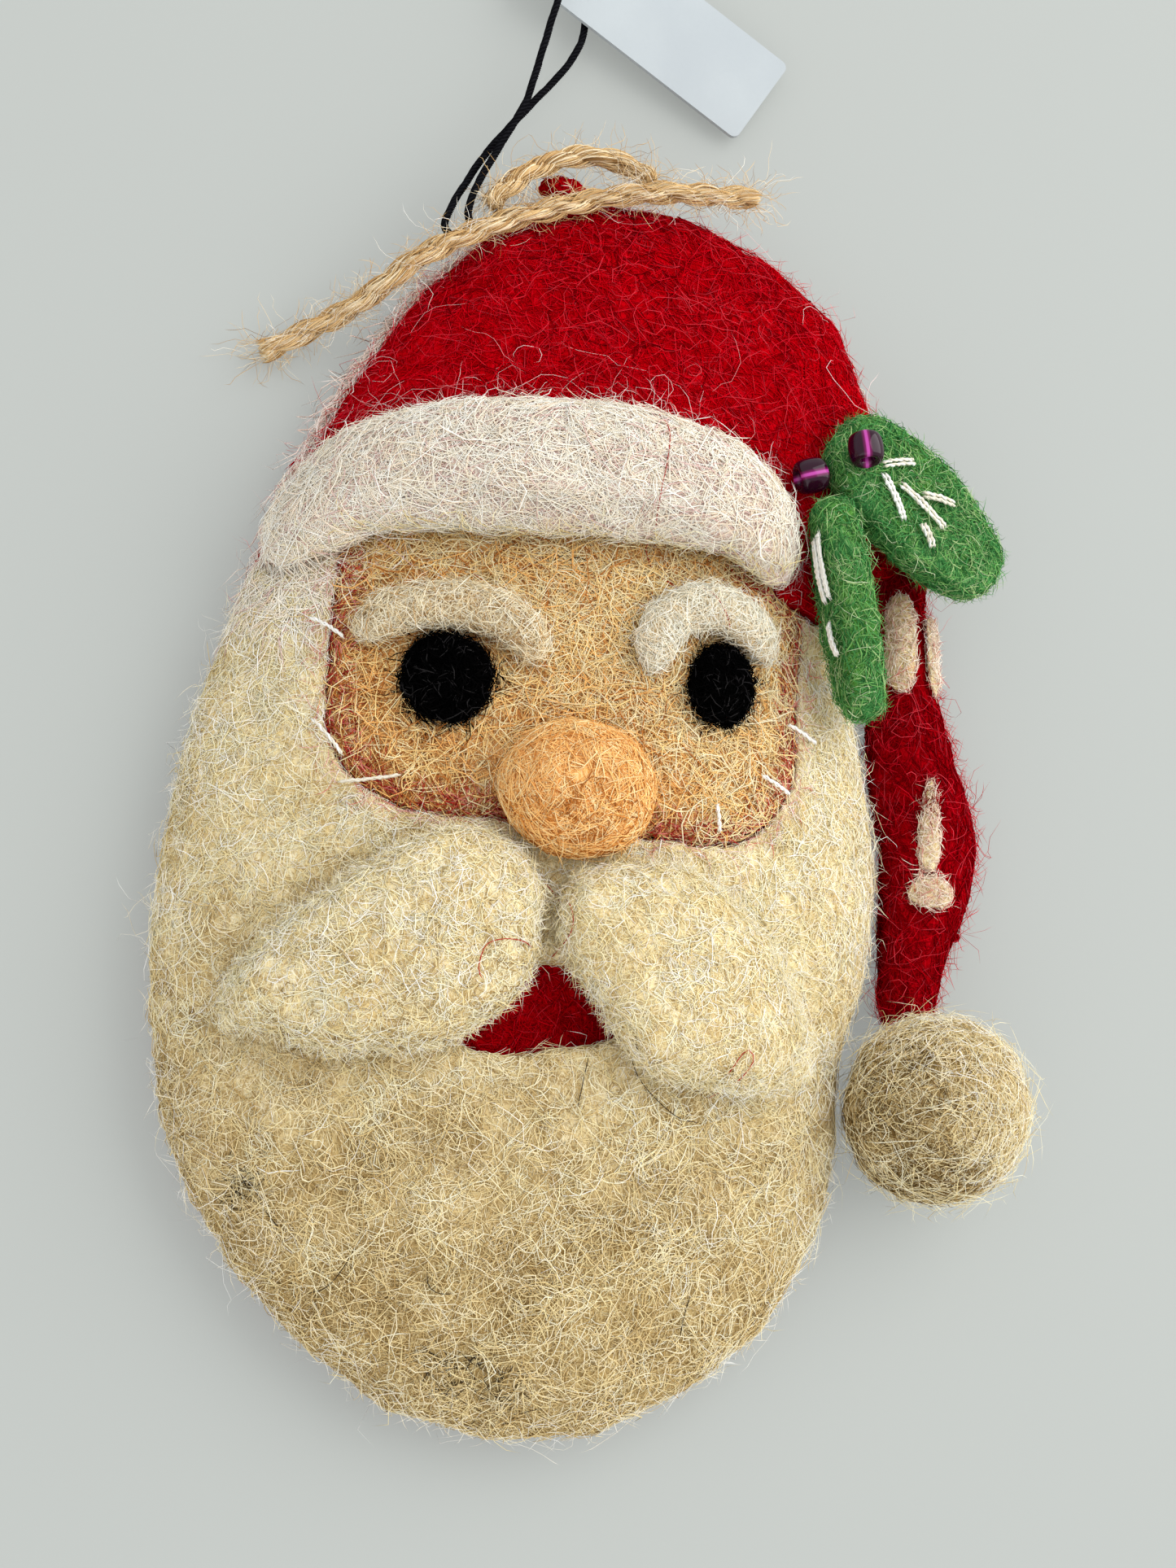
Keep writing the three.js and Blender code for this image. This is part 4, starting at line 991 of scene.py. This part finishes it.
def make_face_coats(cover):
    cover("face_panel", "peach_felt", 3.5, 7, 0.6, width=0.05, knots=6, curl=0.55, loose=0.35, seed=17)
    # Painted light: paler fibres towards the upper right. Painted shade: darker fibres towards the lower
    # left
    cover("face_panel", "pale_peach", 3, 6, 0.7, name="light", width=0.045, knots=6, curl=0.6, loose=0.4,
          fade=(0, 18), lean=0.6, seed=61)
    cover("face_panel", "peach_shade", 1.4, 6, 0.6, name="shade", width=0.045, knots=6, curl=0.6, loose=0.3,
          fade=(5, -12), lean=0.6, seed=82)
    cover("face_panel", "rim_hair", 18, 2.4, 0.7, name="rim", width=0.034, near=("beard_panel", 1.7),
          loose=0.4, seed=18)
    cover("face_panel", "pale_fuzz", 6, 4, 0.9, name="brim_edge", width=0.025, over=True,
          near=("hat_brim", 1.6), loose=0.4, seed=6)
    cover("face_panel", "red_felt", 14, 2.5, 0.5, name="hat_edge", near=("hat_brim", 2),
          region=((13.5, 24), (12, 24)), seed=45)
    cover("nose", "nose_wool", 6, 5, 0.25, width=0.05, knots=5, flow=round_middle("nose"), spread=0.4,
          seed=19)
    cover("nose", "nose_shade", 5, 4, 0.3, name="shade", width=0.045, knots=5, flow=wound("nose"),
          spread=0.4, fade=(-1, -6), lean=0, seed=62)
    cover("nose", "nose_wool", 1.2, 3, 0.8, name="fuzz", width=0.03, loose=0.8, seed=20)
    # The right brow's wool is a paler, lit copy of the left's: painted light
    for k, (side, tone) in enumerate((("left", "brow_wool"), ("right", "bright_brow"))):
        node = f"{side}_eyebrow"
        cover(node, tone, 9, 4.6, 0.7, width=0.036, knots=5, flow=round_middle(node), spread=1, curl=0.7,
              loose=0.4, seed=25 + k)
        cover(node, tone, 12, 3, 0.8, name="edge", width=0.03, over=True, steep=True, loose=0.6, seed=49 + k)
        node = f"{side}_eye"
        cover(node, "black_felt", 14, 1.8, 0.5, loose=0.3, seed=27 + k)
        cover(node, "black_felt", 26, 2.6, 0.6, name="rays", width=0.05, flow=out_of(node), over=True,
              steep=True, loose=0.5, seed=29 + k)


WOOL_PILL_AT = np.array((40.3, -7.3, 5.2)) * MM
WOOL_PILL_RADIUS = 0.45 * MM
WOOL_PILL_FIBRES = 60
WOOL_PILL_KNOTS = 7
WOOL_PILL_BEND = 0.7 * TURN
WOOL_PILL_WIDTH = 0.06


def make_wool_pill():
    """A small pill of wool that hangs off the tail's outer edge."""
    rng = np.random.default_rng(74)
    ways = unit(rng.normal(size=(WOOL_PILL_FIBRES, 3)))
    sides = unit(np.cross(ways, rng.normal(size=ways.shape)))
    angles = np.linspace(0, WOOL_PILL_BEND, WOOL_PILL_KNOTS)[:, None, None]
    reach = WOOL_PILL_RADIUS * rng.uniform(0.3, 1, (WOOL_PILL_FIBRES, 1))
    lines = WOOL_PILL_AT + reach * (np.cos(angles) * ways + np.sin(angles) * sides)
    lines = lines.transpose(1, 0, 2)
    lay_fibres("tail_wool_pill", lines, WOOL_PILL_WIDTH, "tail_felt", "tail", rng)


def make_tail_coats(cover):
    cover("hat_tail", "tail_felt", 3.6, 4, 0.25, width=0.046, flow=downwards, spread=0.7, loose=0.1, seed=31)
    cover("tail_root", "red_felt", 6, 3, 0.4, width=0.05, loose=0.3, seed=83)
    cover("hat_tail", "hat_hair", 0.4, 4, 1, name="curls", width=0.025, knots=6, curl=0.6, loose=0.7, seed=5)
    cover("hat_tail", "hat_hair", 2, 2.2, 0.8, **EDGE, seed=80)
    cover("hat_tail", "hat_hair", 0.15, 8, 1.8, **FLYAWAYS, seed=81)
    cover("hat_tail", "mark_wool", 40, 2, 0.9, name="mark_join", width=0.042, flow=downwards,
          region=((35.5, 37.4), (-3.2, -1)), seed=46)
    for k, mark in enumerate(("tail_bar", "tail_knob", "tail_oval", "tail_stripe")):
        cover(mark, "mark_wool", 11, 2, 0.45, width=0.036, loose=0.35, seed=33 + k)
        cover(mark, "mark_wool", 14, 1.4, 0.4, name="edge", width=0.024, over=True, steep=True, loose=0.4,
              seed=63 + k)
    cover("tail_bar", "tail_felt", 7, 2, 0.5, name="red", width=0.03, region=((30, 40), (3.5, 9)), seed=30)
    wool = {"width": 0.034, "knots": 6, "flow": wound("pom_pom"), "spread": 0.4, "curl": 0.8, "loose": 0.2}
    cover("pom_pom", "oat_felt", 3, 5, 0.4, **wool, seed=32)
    # Painted shade towards the pom-pom's low left, painted light towards its top right
    cover("pom_pom", "shade_felt", 2.8, 5, 0.4, **wool, name="foot", fade=(9, -5), lean=0.8, seed=1)
    cover("pom_pom", "pale_fuzz", 3.6, 5, 0.5, **wool, name="light", fade=(3, 20), lean=0.8, seed=67)
    cover("pom_pom", "cream_felt", 1.1, 6, 1.3, name="fuzz", width=0.022, knots=6, curl=0.7, loose=0.5,
          seed=4)


def make_leaf_coats(cover):
    for k, leaf in enumerate(("right_leaf", "left_leaf")):
        cover(leaf, "green_felt", 5, 3, 0.35, width=0.048, loose=0.3, seed=37 + k)
        cover(leaf, "green_felt", 4, 1.5, 0.6, name="fuzz", width=0.024, loose=0.9, seed=39 + k)
        cover(leaf, "pale_leaf", 0.4, 3.5, 0.6, name="hairs", width=0.026, knots=6, curl=0.7, loose=0.5,
              seed=68 + k)


def make_coats(ground):
    cover = partial(coat, ground)
    make_beard_coats(cover)
    make_hat_coats(cover)
    make_face_coats(cover)
    make_tail_coats(cover)
    make_wool_pill()
    make_leaf_coats(cover)


# Twine, elastic, thread, beads and tag

CURVE_STEPS = 12
ANY_SIDE = (0.1, 0.2, 1)


def run_along(line):
    """The length from a line's start to each of its points."""
    return np.r_[0, np.cumsum(np.linalg.norm(np.diff(line, axis=0), axis=1))]


def smooth_line(points, spacing):
    """A smooth line through points, cut to even steps."""
    points = np.asarray(points, float)
    ends = np.vstack((2 * points[0] - points[1], points, 2 * points[-1] - points[-2]))
    share = np.linspace(0, 1, CURVE_STEPS, endpoint=False)[:, None]
    curve = []
    for a, b, c, d in zip(ends, ends[1:], ends[2:], ends[3:]):
        bend = (2 * a - 5 * b + 4 * c - d) * share**2 + (3 * b - a - 3 * c + d) * share**3
        curve.append(b + ((c - a) * share + bend) / 2)
    curve = np.vstack((*curve, points[-1]))
    run = run_along(curve)
    marks = np.linspace(0, run[-1], max(4, round(run[-1] / spacing) + 1))
    return np.stack([np.interp(marks, run, curve[:, k]) for k in range(3)], axis=1)


def frames_along(line):
    """The way along a line and two ways across it, which do not twist about it."""
    ways = unit(np.gradient(line, axis=0))
    side = unit(np.cross(ways[0], ANY_SIDE))
    sides = []
    for way in ways:
        side = unit(side - way * side.dot(way))
        sides.append(side)
    sides = np.array(sides)
    return ways, sides, np.cross(ways, sides)


def twisted(line, radius, pitch, start):
    """A line wound round another one."""
    _, sides, others = frames_along(line)
    angle = (TURN * (run_along(line) / pitch + start))[:, None]
    return line + radius * (np.cos(angle) * sides + np.sin(angle) * others)


def tapered(line, radius):
    radii = np.full(len(line), radius)
    radii[0] = radii[-1] = 0
    return radii


TWINE_STEP = 0.5 * MM
PLY_OFFSET = 0.36 * MM
PLY_PITCH = 8 * MM
PLY_CORE = 0.62 * MM
BUNDLES = 34
BUNDLE_OFFSETS = (0.6, 0.82)
BUNDLE_PITCH = -10 * MM
BUNDLE_PITCHES = (0.7, 1.6)
BUNDLE_RADII = (0.04, 0.1)


def make_twine(name, node, route, rng):
    """Two-ply jute: each ply a core wound with fibre bundles."""
    line = smooth_line(np.array(route) * MM, TWINE_STEP)
    lines, radii = [], []
    for half in (0, 0.5):
        ply = twisted(line, PLY_OFFSET, PLY_PITCH, half)
        lines.append(ply)
        radii.append(tapered(ply, PLY_CORE))
        for k in range(BUNDLES):
            offset = rng.uniform(*BUNDLE_OFFSETS) * MM
            bundle = twisted(ply, offset, BUNDLE_PITCH * rng.uniform(*BUNDLE_PITCHES), k / BUNDLES)
            lines.append(bundle)
            radii.append(tapered(bundle, rng.uniform(*BUNDLE_RADII) * MM))
    tones = pick_tones("jute_twine", len(lines), rng)
    piece = sweep(name, lines, radii, tones, TONES["jute_twine"])
    stand_for(piece, node)
    return piece, line


HAIR_KNOTS = 7
HAIR_ROOT = 0.9 * MM
HAIR_LENGTHS = (0.4, 1.6)
HAIR_LEANS = (0.1, 1)
HAIR_WANDER = 0.35
HAIR_WIDTH = 0.02


def hairs_of(name, line, body, rng, *, count, length, rise=1, at=None, tones="jute_twine"):
    """Loose hairs that leave a twine all round."""
    ways, sides, others = frames_along(line)
    where = rng.integers(0, len(line), count) if at is None else rng.choice(at, count)
    angle = rng.uniform(0, TURN, (count, 1))
    out = np.cos(angle) * sides[where] + np.sin(angle) * others[where]
    heading = ways[where] * rng.choice((-1, 1), (count, 1))
    heading = heading + out * rng.uniform(*HAIR_LEANS, (count, 1)) * rise
    place = line[where] + out * HAIR_ROOT
    step = length * MM * rng.uniform(*HAIR_LENGTHS, (count, 1)) / (HAIR_KNOTS - 1)
    lines = []
    for _ in range(HAIR_KNOTS):
        lines.append(place)
        heading = unit(heading + rng.normal(0, HAIR_WANDER, (count, 3)))
        place = place + heading * step
    return lay_fibres(name, np.stack(lines, axis=1), HAIR_WIDTH, tones, body, rng)


def make_strings():
    rng = np.random.default_rng(51)
    tie, tie_line = make_twine("tie_strand_twine", "tie_strand", TIE_STRAND, rng)
    last = len(tie_line)
    ends = [*range(4), *range(last - 4, last)]
    hairs = hairs_of("tie_strand_hairs", tie_line, "head", rng, count=800, length=3)
    hairs += hairs_of("tie_strand_ends", tie_line, "head", rng, count=90, length=4, rise=0.5, at=ends)
    hairs += hairs_of("tie_strand_fuzz", tie_line, "head", rng, count=200, length=4, tones="pale_fuzz")
    _, loop_line = make_twine("hanging_loop_twine", "hanging_loop", HANGING_LOOP + LOOP_TUCK, rng)
    last = len(loop_line)
    ends = [*range(4), *range(last - 3, last)]
    hairs_of("hanging_loop_hairs", loop_line, "loop", rng, count=260, length=3)
    hairs_of("hanging_loop_ends", loop_line, "loop", rng, count=160, length=3.5, rise=0.6, at=ends)
    make_elastic(rng)


ELASTIC_STEP = 0.25 * MM
ELASTIC_CORE = 0.3 * MM
ELASTIC_STRANDS = 8
ELASTIC_OFFSET = 0.28 * MM
ELASTIC_PITCH = 2.2 * MM
ELASTIC_STRAND_RADIUS = 0.14 * MM


def make_elastic(rng):
    """A thin elastic with a wound cover."""
    first, last = ELASTIC_TUCKS
    line = smooth_line(np.array(first + TAG_ELASTIC + last) * MM, ELASTIC_STEP)
    lines, radii = [line], [tapered(line, ELASTIC_CORE)]
    for k in range(ELASTIC_STRANDS):
        strand = twisted(line, ELASTIC_OFFSET, ELASTIC_PITCH, k / ELASTIC_STRANDS)
        lines.append(strand)
        radii.append(tapered(strand, ELASTIC_STRAND_RADIUS))
    tones = np.arange(len(lines)) % 2
    piece = sweep("tag_elastic_cord", lines, radii, tones, TONES["black_elastic"])
    stand_for(piece, "tag_elastic")


STITCH_KNOTS = 13
STITCH_OVERRUN = 1.05
STITCH_RISE = 0.35
STITCH_SINK = 0.25
THREAD_RADIUS = 0.15 * MM
THREAD_OFFSET = 0.1 * MM
THREAD_PITCH = 1.3 * MM
THREAD_WANDER = 0.03
FACE_THREADS = (0,)
VEIN_THREADS = (-0.22, 0.22)


def middle_and_axis(points):
    """The middle of some points, and the way in which they reach furthest."""
    middle = points.mean(axis=0)
    return middle, np.linalg.svd(points - middle, full_matrices=False)[2][0]


def make_stitch(node, tree, offsets, rng):
    """A stitch of one thread or more between its two holes."""
    points = places(NODES[node])
    middle, along = middle_and_axis(points)
    reach = (points - middle).dot(along) * STITCH_OVERRUN
    ends = [middle + along * reach.min(), middle + along * reach.max()]
    up = np.array(tree.find_nearest(middle)[1])
    side = unit(np.cross(along, up))
    share = np.linspace(0, 1, STITCH_KNOTS)[:, None]
    arch = np.sin(math.pi * share) ** 0.5
    path = ends[0] + (ends[1] - ends[0]) * share + up * (arch * STITCH_RISE - STITCH_SINK) * MM
    lines, radii = [], []
    for offset in offsets:
        thread = path + (offset + rng.normal(0, THREAD_WANDER, (STITCH_KNOTS, 1))) * side * MM
        for turn in (0, 0.5):
            strand = twisted(thread, THREAD_OFFSET, THREAD_PITCH, turn)
            lines.append(strand)
            radii.append(tapered(strand, THREAD_RADIUS))
    tones = pick_tones("white_thread", len(lines), rng)
    piece = sweep(f"{node}_thread", lines, radii, tones, TONES["white_thread"])
    stand_for(piece, node)


def make_stitches(ground):
    rng = np.random.default_rng(61)
    for node in sorted(NODES):
        if NODE_SLOTS[node] == "white_thread":
            offsets = FACE_THREADS if node.startswith("face") else VEIN_THREADS
            make_stitch(node, ground.bodies[NODES[node]["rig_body"]], offsets, rng)


# The bead's glass, its lining, the painted highlight in the lining, and where the last two fade out
PLUM = (40, 4, 26)
LINING = (112, 12, 80)
LINING_HIGHLIGHT = (186, 70, 160)
LINING_EDGES = (0.5 * MM, 0.2 * MM)
HIGHLIGHT_EDGES = (0.22 * MM, 0.08 * MM)
# The way towards the camera, across which the lining is painted as a band
TOWARDS_CAMERA = (-0.18, -0.25, 0.95)
BEAD_FACET = math.radians(40)


def bead_glass(name, middle, side):
    """Dark plum glass; its bore lining's magenta is painted as a band where it shows towards the camera,
    with a painted highlight along the band's middle.
    """
    paint = Paint(name, Roughness=0.07, Specular_IOR_Level=0.3)
    from_middle = paint.node("VectorMath", {"operation": "SUBTRACT"}, {0: paint.place(), 1: middle})
    across = paint.node("VectorMath", {"operation": "DOT_PRODUCT"}, {0: from_middle, 1: side}, "Value")
    band = paint.between(abs(across), *LINING_EDGES)
    # The painted highlight along the middle of the band
    glow = paint.between(abs(across), *HIGHLIGHT_EDGES)
    lined = paint.mix(band, colour(*PLUM), colour(*LINING))
    return paint.finish(paint.mix(glow, lined, colour(*LINING_HIGHLIGHT)))


def make_beads():
    for node in ("lower_bead", "upper_bead"):
        bead = copy_of(node, f"{node}_glass")
        middle, axis = middle_and_axis(places(bead))
        side = unit(np.cross(axis, TOWARDS_CAMERA))
        with reshaped(bead.data) as shape:
            bmesh.ops.join_triangles(
                shape, faces=shape.faces, angle_face_threshold=BEAD_FACET,
                angle_shape_threshold=BEAD_FACET,
            )
        subdivide(bead, 2)
        glass = bead_glass(f"{node}_glass", middle.tolist(), side.tolist())
        dress(bead, node, glass)


CARD_TONES = ((178, 185, 187), (185, 192, 193))
CARD_GRAIN = (170, 176, 178)
CARD_GRAIN_SIZE = 0.5 * MM
CARD_PATCH = 9 * MM


def card():
    """Matt white card with a fine grain."""
    paint = Paint("white_card", Roughness=0.75, Specular_IOR_Level=0.3)
    place = paint.place()
    grain = paint.noise(place, CARD_GRAIN_SIZE, 4.0)
    shade = paint.between(paint.noise(place, CARD_PATCH), 0.3, 0.7)
    base = paint.mix(shade, *(colour(*tone) for tone in CARD_TONES))
    shown = paint.mix(0.25 * grain, base, colour(*CARD_GRAIN))
    return paint.finish(shown, grain, strength=0.15, depth=0.05 * MM)


def make_tag():
    tag = NODES["hang_tag"]
    tag.data.materials.clear()
    tag.data.materials.append(card())


# Hairs that happened to land on the ornament, by their places on its front in millimetres

LAID_HAIRS = [
    ("red_hair", [(4.4, 36.6), (5.3, 33.9), (5.1, 30.4), (4.7, 27), (5.2, 23.7), (5.8, 22.2)]),
    ("red_hair", [(5.8, 22.2), (8.4, 20.8), (10.8, 20.1), (12.6, 18), (13.3, 16.6)]),
    ("dark_hair", [(2.9, -23.9), (2.6, -26.3), (2.3, -28.6)]),
    ("dark_hair", [(-16, -42.2), (-16.8, -44), (-18, -45.6), (-19.6, -46.2)]),
    ("dark_hair", [(14.6, -43.6), (14.3, -45.8), (14.2, -47.6)]),
    ("dark_hair", [(-9.5, -43.5), (-9.2, -44.8), (-8.2, -45.4), (-6.8, -45.3)]),
    ("red_hair", [
        (-2.6, -8.6), (-0.8, -10.6), (-0.2, -13.5), (-1.8, -15.9), (-4.8, -15.1), (-7.7, -15.7),
        (-8.4, -18), (-7.8, -19),
    ]),
    ("dark_hair", [(-4.4, 21.5), (-3.1, 22.3), (-2.3, 23)]),
    ("dark_hair", [(-2.9, 21.7), (-1.5, 22.5), (-0.3, 22.1)]),
    ("dark_hair", [(6.2, -22.3), (8, -25.7), (11.3, -28.3), (13.7, -28.7)]),
    ("red_hair", [(14.9, -25), (16.3, -22.6), (17.2, -23.3), (16.1, -25.2), (14.3, -26.5)]),
]


LAID_HAIR_STEP = 0.6 * MM
LAID_HAIR_LIFT = 0.35 * MM
LAID_HAIR_RADIUS = 0.045 * MM


def make_laid_hairs(ground):
    for k, (tone, spots) in enumerate(LAID_HAIRS):
        flat = smooth_line([(x * MM, y * MM, 0) for x, y in spots], LAID_HAIR_STEP)
        tops = [ground.height(x, y) + LAID_HAIR_LIFT for x, y, _ in flat]
        line = np.c_[flat[:, :2], tops]
        radii = tapered(line, LAID_HAIR_RADIUS)
        piece = sweep(f"laid_hair_{k + 1}", [line], [radii], [0], TONES[tone])
        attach(piece, "head")


# The table

def pale_table():
    """A matt table with a little glow where it is seen."""
    paint = Paint("pale_table", Base_Color=colour(*TABLE_COLOUR), Roughness=0.6, Specular_IOR_Level=0.2)
    rays = ("Is Camera Ray", "Is Glossy Ray", "Is Transmission Ray")
    seen, glossy, through = (paint.node("LightPath", {}, {}, ray) for ray in rays)
    glow = paint.node("Emission", {}, {"Color": colour(*TABLE_GLOW_COLOUR), "Strength": 1.0})
    matt = Value(paint, paint.shader.outputs[0])
    share = TABLE_GLOW * seen.most(glossy).most(through)
    both = paint.node("MixShader", {}, {0: share, 1: matt, 2: glow})
    paint.feed(paint.tree.nodes["Material Output"].inputs["Surface"], both)
    return paint.material


def make_floor():
    shape = bmesh.new()
    bmesh.ops.create_grid(shape, x_segments=1, y_segments=1, size=FLOOR_REACH)
    mesh = bpy.data.meshes.new("floor")
    shape.to_mesh(mesh)
    shape.free()
    mesh.materials.append(pale_table())
    link("floor", mesh)


make_camera()
make_light()
make_floor()
make_strings()
PIECES = {**make_head(), **make_features(), **make_tail(), "tail_root": make_tail_root(), **make_leaves()}
GROUND = Ground(PIECES)
make_coats(GROUND)
make_stitches(GROUND)
make_beads()
make_tag()
make_laid_hairs(GROUND)
bpy.data.objects.remove(SECTION)
